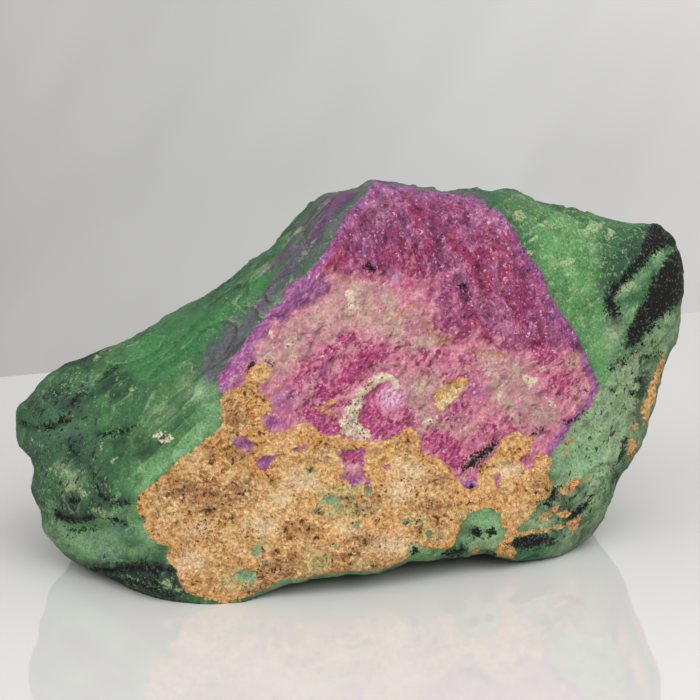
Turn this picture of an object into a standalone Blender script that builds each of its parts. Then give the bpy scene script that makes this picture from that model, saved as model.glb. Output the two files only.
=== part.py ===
"""Ruby in zoisite: a broken hand specimen that formed as one piece of rock.

The stone is one solid. Its corners are placed by hand in millimetres, group by group, and a convex
hull through them gives the fracture faces. An even voxel mesh rounds the hull's edges, hollows are
pressed into it, a gentle unevenness is laid over it, and it is cut flat at its feet, where it rests.

Frame: +X to the right along the longest side, +Y towards the back, +Z up. The broken face that shows
the ruby looks towards -Y. The origin is the centre of the bottom of the stone's box. Metres.
"""

import bmesh
import bpy
import numpy as np
from mathutils import Vector, noise

MM = 0.001

# Corners of the stone in mm, before the stone is centred: X from the middle of the ruby face, Y from
# the foot at the front left, Z from the ground.
NOSE = (
    (-62, 22, 27), (-60, 26, 32), (-55, 30, 36), (-60, 20, 19), (-59, 19, 13),
    (-58, 18, 9), (-54, 17, 2), (-60, 34, 22), (-57, 36, 12), (-50, 17, -2),
)
FRONT_FACE = (
    (-30, 1, -1), (-23, 0.5, -1.5), (-16, 2.5, -1), (-35, 2, 11), (-38, 3, 18),
    (-22.5, 6.5, 37.5), (-12, 13.5, 52.5), (-4, 18.5, 62), (2, 22, 68.5), (19, 27.5, 67.5),
    (29, 28, 63), (39, 27.5, 48), (46, 28, 32), (38, 21, 10), (28, 19.5, -1),
)
LEFT_SLOPE = (
    (-45, 34, 38.5), (-13, 41, 58.5), (-7, 39, 67),
    (-42, 11, 24), (-38, 5, -1), (-44, 10, 0),
)
TOP_RIDGE = (
    (0, 36, 67.5), (6, 34, 70), (15, 38, 67.5), (23, 41, 66.5), (31, 43, 66),
    (59, 47, 60),
)
RIGHT_END = (
    (64.5, 45, 57), (66, 42, 50), (65, 40, 42), (62, 38, 35), (58.5, 35, 27), (56, 32, 19),
    (51, 28, 13), (49, 27, 7), (46, 25, 2), (42, 23, -1), (36, 20.5, -1.5),
    (54, 36, 54), (66, 52, 44), (64, 54, 30),
)
BACK_FACE = (
    (-50, 46, 24), (-36, 52, 31), (-18, 57, 42), (2, 59, 54), (25, 61, 57), (48, 60, 51),
    (60, 57, 44), (52, 56, 8), (-52, 40, 6),
)
BASE = (
    (46, 50, -1), (40, 56, -1), (10, 60, -1.5), (-20, 57, -1.5), (-42, 48, -1.5), (-50, 36, -1.5),
    (48, 36, 0),
)

# Hollows: centre in mm in the corners' frame, radius, depth and the way the wall is pushed.
HOLLOWS = (
    ((-60, 20, 19), 8, 1.6, (1, 0.3, 0)),
    ((17, 15, -1), 19, 3.6, (0, 0.3, 1)),
    ((-4, 9, -1), 16, 2.6, (0, 0.3, 1)),
    ((30, 40, -1), 16, 2.6, (0, 0, 1)),
    ((-50, 30, -1), 13, 2.4, (0.3, 0, 1)),
    ((53, 27, 12), 7, 1.2, (-1, 0.4, 0)),
    ((-26, 38, 50), 33, 6.4, (0.3, 0.2, -1)),
    ((40, 43, 66), 12, 1.2, (0, 0, -1)),
    ((-8, 62, 30), 24, 5.0, (0, -1, 0)),
    ((38, 62, 36), 18, 3.5, (0, -1, -0.3)),
    ((-44, 52, 16), 16, 3.0, (0.5, -1, 0)),
)

VOXEL = 3.1          # spacing of the even mesh
ROUNDING_STEPS = 2   # how far the voxel mesh's edges are worn round
UNEVEN_HEIGHT = 0.8  # height of the broad unevenness
UNEVEN_LENGTH = 14   # distance from one swell to the next
GRAIN_HEIGHT = 0.35  # height of the finer unevenness
GRAIN_LENGTH = 5     # distance from one fine swell to the next
GROUND_BOX = (200, 120, 20)  # the box that cuts the feet flat
NOISE_ORIGIN = Vector((3.7, 11.2, 5.9))
MATERIAL_COLOUR = (0.12, 0.28, 0.11, 1.0)
MATERIAL_ROUGHNESS = 0.55


def clear_scene():
    """Remove every object of the open scene."""
    for old in list(bpy.data.objects):
        bpy.data.objects.remove(old, do_unlink=True)


def zoisite_material():
    """Return the plain material of the rock: green, not metallic, waxy."""
    rock = bpy.data.materials.new("zoisite_rock")
    rock.use_nodes = True
    shader = rock.node_tree.nodes["Principled BSDF"]
    shader.inputs["Base Color"].default_value = MATERIAL_COLOUR
    shader.inputs["Roughness"].default_value = MATERIAL_ROUGHNESS
    shader.inputs["Metallic"].default_value = 0.0
    return rock


def new_object(name, mesh, collection):
    """Link a new object that holds the mesh to the collection and return it."""
    made = bpy.data.objects.new(name, mesh)
    collection.objects.link(made)
    return made


def fracture_hull(name, collection):
    """Return the convex hull through all the corners as an object."""
    corners = NOSE + FRONT_FACE + LEFT_SLOPE + TOP_RIDGE + RIGHT_END + BACK_FACE + BASE
    body = bmesh.new()
    for corner in corners:
        body.verts.new(Vector(corner) * MM)
    hull = bmesh.ops.convex_hull(body, input=body.verts)
    inner = set(hull["geom_interior"] + hull["geom_unused"])
    bmesh.ops.delete(body, geom=[v for v in inner if isinstance(v, bmesh.types.BMVert)], context="VERTS")
    bmesh.ops.recalc_face_normals(body, faces=body.faces)
    mesh = bpy.data.meshes.new(name)
    body.to_mesh(mesh)
    body.free()
    return new_object(name, mesh, collection)


def even_mesh(stone):
    """Give the stone an even voxel mesh with worn edges, applied to its mesh."""
    remesh = stone.modifiers.new("even_grid", "REMESH")
    remesh.mode = "VOXEL"
    remesh.voxel_size = VOXEL * MM
    smooth = stone.modifiers.new("worn_edges", "SMOOTH")
    smooth.factor = 0.5
    smooth.iterations = ROUNDING_STEPS
    graph = bpy.context.evaluated_depsgraph_get()
    evaluated = bpy.data.meshes.new_from_object(stone.evaluated_get(graph))
    stone.modifiers.clear()
    hull = stone.data
    stone.data = evaluated
    bpy.data.meshes.remove(hull)


def press_hollow(body, centre, radius, depth, push):
    """Push the wall near the centre along push, by depth in the middle and nothing at the radius."""
    way = Vector(push).normalized()
    for vertex in body.verts:
        reach = (vertex.co / MM - Vector(centre)).length / radius
        if reach < 1.0:
            vertex.co += way * (depth * (1.0 - reach * reach) ** 2 * MM)


def roughen(body):
    """Move each vertex along its normal by two seeded noises, a broad one and a finer one."""
    body.normal_update()
    moves = []
    for vertex in body.verts:
        place = vertex.co / MM
        broad = noise.noise(place / UNEVEN_LENGTH + NOISE_ORIGIN)
        fine = noise.noise(place / GRAIN_LENGTH - NOISE_ORIGIN)
        moves.append(vertex.normal * ((broad * UNEVEN_HEIGHT + fine * GRAIN_HEIGHT) * MM))
    for vertex, move in zip(body.verts, moves):
        vertex.co += move


def cut_feet(stone, cutters):
    """Cut the stone flat at the ground with a box below it, so that it stands on true flat feet."""
    mesh = bpy.data.meshes.new("ground_box")
    body = bmesh.new()
    bmesh.ops.create_cube(body, size=1.0)
    bmesh.ops.scale(body, vec=Vector(GROUND_BOX) * MM, verts=body.verts)
    bmesh.ops.translate(body, vec=(0, 0, -GROUND_BOX[2] / 2 * MM), verts=body.verts)
    body.to_mesh(mesh)
    body.free()
    box = new_object("ground_box", mesh, cutters)
    box.hide_render = True
    box.display_type = "WIRE"
    cut = stone.modifiers.new("flat_feet", "BOOLEAN")
    cut.operation = "DIFFERENCE"
    cut.solver = "EXACT"
    cut.object = box


def centre_stone(body):
    """Move the stone along the ground so that the middle of its box is over the origin."""
    places = np.array([vertex.co for vertex in body.verts])
    middle = (places.min(axis=0) + places.max(axis=0)) / 2
    for vertex in body.verts:
        vertex.co -= Vector((middle[0], middle[1], 0.0))


def build_stone(collection, cutters):
    """Build the whole stone in the collection, with its cutter in the other one."""
    stone = fracture_hull("ruby_in_zoisite", collection)
    even_mesh(stone)
    body = bmesh.new()
    body.from_mesh(stone.data)
    for centre, radius, depth, push in HOLLOWS:
        press_hollow(body, centre, radius, depth, push)
    roughen(body)
    centre_stone(body)
    body.to_mesh(stone.data)
    body.free()
    stone.data.shade_smooth()
    stone.data.materials.append(zoisite_material())
    cut_feet(stone, cutters)


def main():
    """Clear the scene and build the specimen."""
    clear_scene()
    specimen = bpy.data.collections.new("ruby_in_zoisite_specimen")
    cutters = bpy.data.collections.new("cutters")
    for collection in (specimen, cutters):
        bpy.context.scene.collection.children.link(collection)
    build_stone(specimen, cutters)


main()
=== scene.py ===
"""Looks of a hand specimen of ruby in zoisite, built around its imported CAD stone.

One closed skin stands for the stone. It starts from the CAD solid, takes the specimen's drawn outline,
gets the relief of each mineral, and carries one measure per marking: how far, in millimetres, each
point of the surface lies outside that marking. The rock's material turns those measures into colour,
gloss and grain. Blender's units are metres; the shape and the markings are worked out in millimetres.
"""

from __future__ import annotations

import itertools
import logging
import math
from dataclasses import dataclass, field
from enum import Enum
from typing import Any

import bmesh
import bpy
import numpy as np
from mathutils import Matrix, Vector


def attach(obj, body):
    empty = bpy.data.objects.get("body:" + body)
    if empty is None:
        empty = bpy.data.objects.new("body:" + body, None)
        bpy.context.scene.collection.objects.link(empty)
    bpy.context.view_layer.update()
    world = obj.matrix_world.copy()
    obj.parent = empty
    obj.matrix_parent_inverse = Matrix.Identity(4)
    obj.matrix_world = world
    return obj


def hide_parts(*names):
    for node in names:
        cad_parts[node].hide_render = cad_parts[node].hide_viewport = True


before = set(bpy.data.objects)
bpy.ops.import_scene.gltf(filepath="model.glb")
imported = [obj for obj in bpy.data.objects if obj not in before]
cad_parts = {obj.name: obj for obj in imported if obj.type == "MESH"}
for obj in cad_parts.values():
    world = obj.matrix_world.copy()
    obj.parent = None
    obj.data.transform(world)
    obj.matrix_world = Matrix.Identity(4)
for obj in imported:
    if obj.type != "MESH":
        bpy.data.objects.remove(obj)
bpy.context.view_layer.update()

LOG = logging.getLogger("ruby_in_zoisite")
MM = 0.001
NODE = "ruby_in_zoisite"
FAR_MM = 12.0  # distances past this don't matter to any marking
DRAWN_FADE = (0.05, 0.65)  # how far a face has turned away from the view where drawn shapes end
POCKET_FADE = (-0.12, 0.05)  # how far a face looks towards the view where pockets end
CELL_PRIMES = (73856093, 19349663, 83492791)  # these six mix the bits of a lattice's random numbers
SEED_PRIME = 40503
BIT_MIXERS = ((15, 0x2C1B3C6D), (12, 0x297A2D39))  # shift, factor
LAST_SHIFT = 15
WORD = 0xFFFFFFFF
LOW_BITS = 0xFFFFFF
PUSH_SEED = 900
NOISE_SPREAD = 3.0  # a noise node's values span about a third of 0 to 1
SPECK_EDGE = 0.03
Points = np.ndarray
Socket = bpy.types.NodeSocket
Pair = tuple[float, float]
Triple = tuple[float, float, float]
Wave = tuple[float, float, int]  # height, length and seed, or what stands for them


def placed(name: str, data: Any) -> bpy.types.Object:
    """Add an object to the scene.

    Args:
        name: its name.
        data: its mesh, lamp or camera.

    Returns:
        The object.
    """
    thing = bpy.data.objects.new(name, data)
    bpy.context.scene.collection.objects.link(thing)
    return thing


# ---------------------------------------------------------------- numbers in space


def smooth_step(values: np.ndarray, low: float, high: float) -> np.ndarray:
    """Ease from 0 at low to 1 at high, as 3t^2 - 2t^3.

    Args:
        values: numbers of any shape.
        low: where the result is 0.
        high: where the result is 1.

    Returns:
        Numbers from 0 to 1.
    """
    share = np.clip((values - low) / (high - low), 0.0, 1.0)
    return share * share * (3.0 - 2.0 * share)


def lattice_random(cells: np.ndarray, seed: int) -> np.ndarray:
    """Give each whole-number cell a fixed random number, by mixing its three numbers' bits.

    Args:
        cells: (n, 3) whole numbers.
        seed: which set of random numbers.

    Returns:
        (n,) numbers from 0 to 1.
    """
    whole = cells.astype(np.int64)
    mixed = whole[:, 0] * CELL_PRIMES[0] ^ whole[:, 1] * CELL_PRIMES[1] ^ whole[:, 2] * CELL_PRIMES[2]
    mixed = (mixed + seed * SEED_PRIME) & WORD
    for shift, factor in BIT_MIXERS:
        mixed = ((mixed ^ (mixed >> shift)) * factor) & WORD
    return ((mixed ^ (mixed >> LAST_SHIFT)) & LOW_BITS) / float(LOW_BITS)


def swells(points: Points, length: float, seed: int) -> np.ndarray:
    """Smooth noise: random heights at the corners of a cubic lattice, eased between by 6t^5-15t^4+10t^3.

    Args:
        points: (n, 3) places.
        length: the lattice's spacing, in the points' unit.
        seed: which noise.

    Returns:
        (n,) heights from -1 to 1.
    """
    scaled = points / length
    low = np.floor(scaled)
    part = scaled - low
    ease = part**3 * (part * (part * 6.0 - 15.0) + 10.0)
    total = np.zeros(len(points))
    for corner in itertools.product((0, 1), repeat=3):
        share = np.prod(np.where(np.array(corner) == 1, ease, 1.0 - ease), axis=1)
        total += share * lattice_random(low + corner, seed)
    return total * 2.0 - 1.0


def waves(points: Points, *sizes: Wave) -> np.ndarray:
    """Sum of smooth noises, given by their heights, lengths and seeds."""
    return sum(height * swells(points, length, seed) for height, length, seed in sizes)


def swirl(points: Points, length: float, reach: float, seed: int) -> Points:
    """Smooth moves of places, one noise for each axis.

    Args:
        points: (n, 3) places.
        length: the noises' length, in the points' unit.
        reach: the largest move along an axis, in the points' unit.
        seed: which noises.

    Returns:
        (n, 3) moves.
    """
    return reach * np.stack([swells(points, length, seed + axis) for axis in range(3)], axis=1)


def inside(distance: np.ndarray, edge: float) -> np.ndarray:
    """How much of a marking shows: 1 inside it and 0 outside, easing within the edge's half width."""
    return 1.0 - smooth_step(distance, -edge, edge)


@dataclass(frozen=True)
class Grains:
    """The grain that each point lies in: its distance and offset from the middle, and its draw."""

    nearest: np.ndarray
    offset: np.ndarray
    draw: np.ndarray

    @classmethod
    def around(cls, points: Points, size: float, seed: int) -> Grains:
        """Sort the points into grains: each lattice cell holds one grain's middle, set off at random.

        Args:
            points: (n, 3) places.
            size: mean grain size, in the points' unit.
            seed: which grains.

        Returns:
            The grains, with distances and offsets in grain sizes.
        """
        scaled = points / size
        low = np.floor(scaled)
        nearest = np.full(len(points), np.inf)
        offset = np.zeros_like(points)
        draw = np.zeros_like(points)
        for step in itertools.product((-1, 0, 1), repeat=3):
            cell = low + step
            jitter = np.stack([lattice_random(cell, seed + k) for k in range(3)], axis=1)
            away = scaled - cell - jitter
            distance = np.linalg.norm(away, axis=1)
            closer = distance < nearest
            nearest = np.where(closer, distance, nearest)
            offset[closer] = away[closer]
            draw[closer] = jitter[closer][:, ::-1]
        return cls(nearest, offset, draw)

    def facets(self) -> np.ndarray:
        """Height of a flat facet through each grain's middle, tilted by the grain's draw."""
        return np.einsum("ij,ij->i", self.offset, self.draw * 2.0 - 1.0)


def turned(points: Points, degrees: float, stretch: float) -> Points:
    """Turn places about Y so that a grain at that slope lies along X, and shorten them along it.

    Args:
        points: (n, 3) places.
        degrees: the grain's slope in the XZ plane, up from +X.
        stretch: how many times longer than wide the grain is.

    Returns:
        (n, 3) places in which the grain has no direction.
    """
    angle = math.radians(degrees)
    along = points[:, 0] * math.cos(angle) + points[:, 2] * math.sin(angle)
    across = points[:, 2] * math.cos(angle) - points[:, 0] * math.sin(angle)
    return np.stack([along / stretch, points[:, 1], across], axis=1)


# ---------------------------------------------------------------- the view, and marks drawn in it


@dataclass(frozen=True)
class StudioView:
    """A camera 15 degrees above the table, straight in front of the ruby face, with a long lens."""

    lens_mm: float = 90.0
    sensor_mm: float = 36.0
    frame_px: float = 700.0
    pitch_deg: float = 15.0
    eye: Triple = (-1.5, -315.2, 122.7)
    clip_m: Pair = (0.01, 20.0)

    @property
    def focal_px(self) -> float:
        """The lens's focal length in frame pixels."""
        return self.lens_mm / self.sensor_mm * self.frame_px

    @property
    def forward(self) -> np.ndarray:
        """Unit vector that the camera looks along."""
        pitch = math.radians(self.pitch_deg)
        return np.array([0.0, math.cos(pitch), -math.sin(pitch)])

    @property
    def upward(self) -> np.ndarray:
        """Unit vector that points up in the frame."""
        pitch = math.radians(self.pitch_deg)
        return np.array([0.0, math.sin(pitch), math.cos(pitch)])

    def project(self, points: Points) -> tuple[np.ndarray, np.ndarray]:
        """Find where places appear in the frame, by a pinhole camera.

        Args:
            points: (n, 3) places in mm.

        Returns:
            (n, 2) frame pixels, x to the right and y down, and (n,) depths in mm.
        """
        rays = points - np.array(self.eye)
        depth = rays @ self.forward
        x = rays[:, 0] / depth
        y = rays @ self.upward / depth
        half = self.frame_px / 2.0
        return np.stack([half + self.focal_px * x, half - self.focal_px * y], axis=1), depth

    def shift(self, moves_px: np.ndarray, depth: np.ndarray) -> Points:
        """Turn moves in the frame into moves in space, square to the view.

        Args:
            moves_px: (n, 2) moves in frame pixels.
            depth: (n,) depths in mm.

        Returns:
            (n, 3) moves in mm.
        """
        across = moves_px * (depth / self.focal_px)[:, None]
        return across[:, :1] * np.array([1.0, 0.0, 0.0]) - across[:, 1:] * self.upward

    def grounded(self, points: Points) -> Points:
        """Slide the points below the ground along their line of sight until they lie on it.

        A point p below the ground moves to e + (p - e) h / (h - z), with e the eye and h its height.
        """
        eye = np.array(self.eye)
        share = eye[2] / (eye[2] - np.minimum(points[:, 2], 0.0))
        return eye + (points - eye) * share[:, None]

    def facing(self, points: Points, normals: Points) -> np.ndarray:
        """How far each place's surface faces the camera, from -1 to 1."""
        rays = np.array(self.eye) - points
        rays /= np.linalg.norm(rays, axis=1, keepdims=True)
        return np.einsum("ij,ij->i", rays, normals)

    def build(self) -> bpy.types.Object:
        """Create the camera and make it the scene's.

        Returns:
            The camera object.
        """
        lens = bpy.data.cameras.new("studio_camera")
        lens.lens = self.lens_mm
        lens.sensor_width = self.sensor_mm
        lens.clip_start, lens.clip_end = self.clip_m
        camera = placed("studio_camera", lens)
        camera.location = Vector(self.eye) * MM
        camera.rotation_euler = (math.radians(90.0 - self.pitch_deg), 0.0, 0.0)
        bpy.context.scene.camera = camera
        return camera


def rows(text: str) -> list[tuple[float, ...]]:
    """Read numbers written in rows, as in "1,2 3,4"."""
    return [tuple(float(number) for number in row.split(",")) for row in text.split()]


def trace(text: str) -> np.ndarray:
    """Read (n, 2) frame pixels written as "x,y x,y"."""
    return np.array(rows(text))


def ring(text: str) -> np.ndarray:
    """Read a closed outline, whose last point is the first again."""
    line = trace(text)
    return np.vstack([line, line[:1]])


def polar(away: np.ndarray) -> tuple[np.ndarray, np.ndarray]:
    """Angles in radians and lengths of (n, 2) ways from a middle."""
    return np.arctan2(away[:, 1], away[:, 0]), np.linalg.norm(away, axis=1)


def segment_distance(places: np.ndarray, line: np.ndarray) -> tuple[np.ndarray, np.ndarray]:
    """Distance from each place to a chain of straight segments, and how far along it the foot lies.

    Args:
        places: (n, 2) frame pixels.
        line: (m, 2) the chain's points.

    Returns:
        (n,) distances in pixels, and (n,) places along the chain from 0 to 1.
    """
    nearest = np.full(len(places), np.inf)
    along = np.zeros(len(places))
    for index, (start, end) in enumerate(zip(line[:-1], line[1:])):
        run = end - start
        share = np.clip((places - start) @ run / max(run @ run, 1e-9), 0.0, 1.0)
        distance = np.linalg.norm(places - start - share[:, None] * run, axis=1)
        along = np.where(distance < nearest, (index + share) / (len(line) - 1), along)
        nearest = np.minimum(nearest, distance)
    return nearest, along


@dataclass(frozen=True)
class Patch:
    """A closed outline in frame pixels, grown outwards by some pixels."""

    outline: str
    grow: float = 0.0

    def measure(self, places: np.ndarray) -> np.ndarray:
        """Signed distance in pixels: below 0 inside, by counting how often the outline is crossed."""
        edge = ring(self.outline)
        distance, _ = segment_distance(places, edge)
        inside = np.zeros(len(places), bool)
        for (x0, y0), (x1, y1) in zip(edge[:-1], edge[1:]):
            spans = (places[:, 1] < y0) != (places[:, 1] < y1)
            crossing = x0 + (places[:, 1] - y0) / (y1 - y0 if y1 != y0 else 1e-9) * (x1 - x0)
            inside ^= spans & (places[:, 0] < crossing)
        return np.where(inside, -distance, distance) - self.grow


def patches(text: str, grow: float = 0.0) -> tuple[Patch, ...]:
    """Several patches from their outlines, as in "230,302 245,285 262,264; 196,346 206,328 218,310"."""
    return tuple(Patch(outline, grow) for outline in text.split(";"))


@dataclass(frozen=True)
class Streak:
    """A line in frame pixels with a half width, thinning to a share of it at its ends."""

    line: str
    half_width: float
    tip: float = 0.2

    def measure(self, places: np.ndarray) -> np.ndarray:
        """Distance in pixels beyond the streak's edge, below 0 inside; it tapers as 2 sqrt(t (1 - t))."""
        distance, along = segment_distance(places, trace(self.line))
        taper = np.sqrt(np.clip(4.0 * along * (1.0 - along), 0.0, 1.0)) * (1.0 - self.tip) + self.tip
        return distance - self.half_width * taper


def streaks(text: str) -> tuple[Streak, ...]:
    """Several streaks from their half widths and points, as in "1.8 84,394 92,389; 2 26,450 34,441"."""
    parts = (part.split(maxsplit=1) for part in text.split(";"))
    return tuple(Streak(line, float(half_width)) for half_width, line in parts)


@dataclass(frozen=True)
class Spot:
    """An oval in frame pixels: middle, half width, half height, and its slope in degrees."""

    x: float
    y: float
    rx: float
    ry: float
    slope: float = 0.0

    def measure(self, places: np.ndarray) -> np.ndarray:
        """Distance in pixels beyond the oval, below 0 inside, as (|q| - 1) times its mean radius."""
        angle = math.radians(self.slope)
        away = places - np.array([self.x, self.y])
        along = away[:, 0] * math.cos(angle) - away[:, 1] * math.sin(angle)
        across = away[:, 0] * math.sin(angle) + away[:, 1] * math.cos(angle)
        reach = np.sqrt((along / self.rx) ** 2 + (across / self.ry) ** 2)
        return (reach - 1.0) * math.sqrt(self.rx * self.ry)


def spots(text: str) -> tuple[Spot, ...]:
    """Several ovals from their numbers, as in "435,535,12,8 310,474,8,8,20"."""
    return tuple(Spot(*row) for row in rows(text))


@dataclass(frozen=True)
class Pocket:
    """A body of mineral inside the rock, which shows where the surface cuts it: an ellipsoid in mm."""

    middle: Triple
    radii: Triple
    slope: float = 0.0

    def measure(self, points: Points) -> np.ndarray:
        """Signed distance in mm, as k0 (k0 - 1) / k1 with k0 = |p/r| and k1 = |p/r^2|."""
        local = turned(points - np.array(self.middle), self.slope, 1.0)
        scaled = np.linalg.norm(local / np.array(self.radii), axis=1)
        slope = np.linalg.norm(local / np.array(self.radii) ** 2, axis=1)
        return scaled * (scaled - 1.0) / np.maximum(slope, 1e-6)


def pockets(text: str) -> tuple[Pocket, ...]:
    """Several pockets from their middles, radii and slopes, as in "16,26,44,17,12,12,20 44,25,16,8,9,7"."""
    return tuple(Pocket(row[:3], row[3:6], *row[6:]) for row in rows(text))


@dataclass(frozen=True)
class Marking:
    """One kind of marking: drawn shapes on the side in view, and pockets on the sides out of view."""

    name: str
    shapes: tuple[Patch | Streak | Spot, ...] = ()
    pockets: tuple[Pocket, ...] = ()
    windows: tuple[Patch | Streak | Spot, ...] = ()

    def measure(self, skin: Skin) -> np.ndarray:
        """Work out how far each point lies outside the marking, in mm, below 0 inside.

        The drawn shapes fade where the surface turns away from the view, the pockets where it
        turns towards it, and the nearer of the two counts.

        Args:
            skin: the surface, with its places in the frame.

        Returns:
            (n,) signed distances in mm.
        """
        nearest = np.full(len(skin.points), FAR_MM)
        if self.shapes:
            drawn = np.min([shape.measure(skin.places) for shape in self.shapes], axis=0)
            for window in self.windows:
                drawn = np.maximum(drawn, -window.measure(skin.places))
            hidden = smooth_step(-skin.facing, *DRAWN_FADE) * FAR_MM
            nearest = np.minimum(nearest, drawn * skin.mm_per_px + hidden)
        if self.pockets:
            deep = np.min([pocket.measure(skin.warped) for pocket in self.pockets], axis=0)
            shown = smooth_step(skin.facing, *POCKET_FADE) * FAR_MM
            nearest = np.minimum(nearest, deep + shown)
        return np.clip(nearest, -FAR_MM, FAR_MM)


# ---------------------------------------------------------------- the specimen's outline and markings
#
# In frame pixels, a patch is a closed outline, a streak its half width and its points, and a spot its
# middle, half width, half height and slope. In mm, a pocket is its middle, its radii and its slope.

OUTLINE = """
    16,424 16,410 18,405 23,400 30,391 40,379 50,371 60,366 70,361 80,357 90,352 100,349 110,345 130,338
    140,331 150,325 170,312 190,303 210,293 220,287 232,279 240,272 250,262 262,253 270,248 275,242
    281,233 290,223 300,213 310,204 318,198 325,195 338,193 350,190 360,187 368,184 375,182 384,181
    392,182 400,184 420,187 432,188 442,192 450,191 462,189 478,189 483,192 495,192 508,190 515,191
    525,195 538,202 547,203 560,205 580,209 600,215 620,219 640,222 650,223 658,224 664,227 671,233
    677,243 681,255 684,270 685,285 684,298 680,308 680,332 677,343 671,355 665,365 660,382 655,400
    650,415 646,432 641,445 641,446 631,461 623,473 617,481 615,490 610,500 605,512 600,521 595,530
    590,538 580,546 570,552 558,558 545,560 530,562 515,563 505,562 497,559 487,556 475,556 460,558
    450,559 440,560 430,561 415,561 407,562 400,568 390,570 380,573 370,575 350,575 340,576 330,578
    320,580 305,580 300,582 290,583 280,588 270,592 260,597 250,601 235,604 220,606 205,606 190,604
    175,602 160,599 150,597 140,592 130,590 120,584 110,581 100,574 90,572 82,568 74,564 66,559 60,552
    55,545 48,539 43,533 40,527 40,518 38,508 35,500 32,493 31,483 32,477 34,470 32,461 27,455 20,448
    17,438 16,428
"""

RUBY_ISLANDS = """
    236,437 243,436 250,440 254,447 252,452 246,450 238,449 235,443;
    255,461 262,456 270,456 279,455 272,462 265,470 259,468;
    292,449 300,446 307,443 303,449 297,452;
    340,450 352,449 366,450 364,458 361,468 366,475 371,482 362,484 352,485 347,480 340,478 345,470
    342,460;
    493,474 499,473 499,487 496,487;
    383,465 389,465 389,470 384,470
"""

RUBY = Marking(
    "ruby",
    patches("""
        360,205 352,210 345,221 340,228 333,240 325,253 317,262 305,277 290,286 284,296 281,305 272,310
        264,320 257,328 250,340 243,348 236,356 228,366 219,377 219,385 221,393 235,402 255,430 280,445
        330,450 380,455 420,470 450,482 465,491 478,492 545,470 551,455 556,446 563,439 568,428 576,419
        586,411 591,404 597,393 597,377 589,366 583,347 572,327 557,307 549,292 541,271 531,260 524,250
        519,238 511,224 503,215 491,208 482,201 468,197 455,194 440,195 425,192 408,189 390,187 376,188
        368,195
    """) + patches(RUBY_ISLANDS, 5.0),
    pockets("16,26,44,17,12,12,20 -24,26,16,12,10,7,-15 44,25,16,8,9,7"),
)

CRUST = Marking(
    "crust",
    patches("""
        220,397 228,391 239,387 246,378 250,370 258,365 266,363 271,370 269,379 260,386 256,389 263,394
        268,400 269,405 275,410 266,414 261,418 263,424 267,430 271,434 280,432 289,430 297,424 306,422
        313,426 322,436 331,437 338,433 343,437 350,440 360,439 370,441 380,440 392,438 400,433 404,429
        410,427 416,431 421,438 421,446 419,453 430,456 440,460 450,468 454,478 459,480 463,487 471,490
        477,485 479,476 480,465 488,459 497,450 499,444 503,437 510,433 520,433 530,435 533,441 531,448
        526,454 518,460 522,465 531,471 535,462 537,456 545,453 550,456 551,462 549,470 547,476 551,484
        549,492 547,497 540,500 537,506 533,515 528,520 519,525 516,535 509,545 517,552 514,558 498,556
        494,549 500,540 505,530 500,520 500,512 490,508 478,510 468,514 463,522 458,532 457,541 452,547
        444,549 430,548 420,549 419,543 410,544 409,552 408,558 400,563 390,567 378,570 362,571 350,571
        340,572 326,574 310,577 300,577 290,579 278,581 266,588 252,595 240,599 225,602 212,601 200,598
        192,594 182,587 178,578 176,570 170,563 166,558 171,550 168,546 158,544 150,538 147,531 143,525
        146,519 140,516 137,510 137,503 139,497 150,486 160,478 170,470 180,460 190,452 200,443 210,436
        217,431 222,424 221,415 220,405;
        432,404 434,394 440,388 447,383 455,380 463,377 470,378 467,385 461,393 455,399 448,404 442,411
        437,410;
        563,443 572,437 575,441 568,446;
        559,455 568,450 572,451 566,456;
        565,486 570,480 578,478 582,482 575,487 571,493 567,491;
        558,490 563,487 566,493 561,497;
        534,520 545,512 556,505 562,504 556,511 549,520 541,523;
        559,514 567,511 571,513 568,518 561,518;
        570,522 577,517 582,516 579,525 574,534 571,530;
        471,550 478,546 481,552 473,555;
        660,353 663,353 661,366 657,380 653,394 649,408 645,424 642,428 642,410 646,396 651,380 656,366;
        631,428 636,422 638,425 634,433;
        630,440 635,436 636,446 631,454 627,460 627,450
    """) + streaks("""
        2.2 312,409 321,407 331,403 336,400; 2 320,408 325,414 333,412 337,418;
        2.4 514,536 530,532 548,529 562,526 573,521
    """) + spots("635,357,3,2 591,478,2.4,2.4"),
    pockets("62,12,24,9,12,17 -36,14,4,18,16,9 30,30,22,15,8,11,30 -8,0,0,34,13,6 10,29,8,13,6,7"),
    patches("""
        230,577 238,574 244,569 251,571 256,572 254,579 251,585 248,579 243,581 238,580;
        250,555 254,549 259,544 262,547 259,555 253,558;
        322,499 333,495 341,498 340,505 338,512 334,505 326,503;
        312,512 318,507 323,503 320,510 315,514;
        326,543 332,542 338,545 336,547 328,546;
        354,526 358,521 362,520 360,526 356,530;
        402,520 408,518 411,523 405,526
    """) + patches(RUBY_ISLANDS) + spots("""
        308,550,4,3 311,472,3,5 368,490,3.5,4.5 430,533,3.5,2.5 264,563,2.6,3.6 398,539,2,1.6
        352,497,2,1.2
    """),
)

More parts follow.
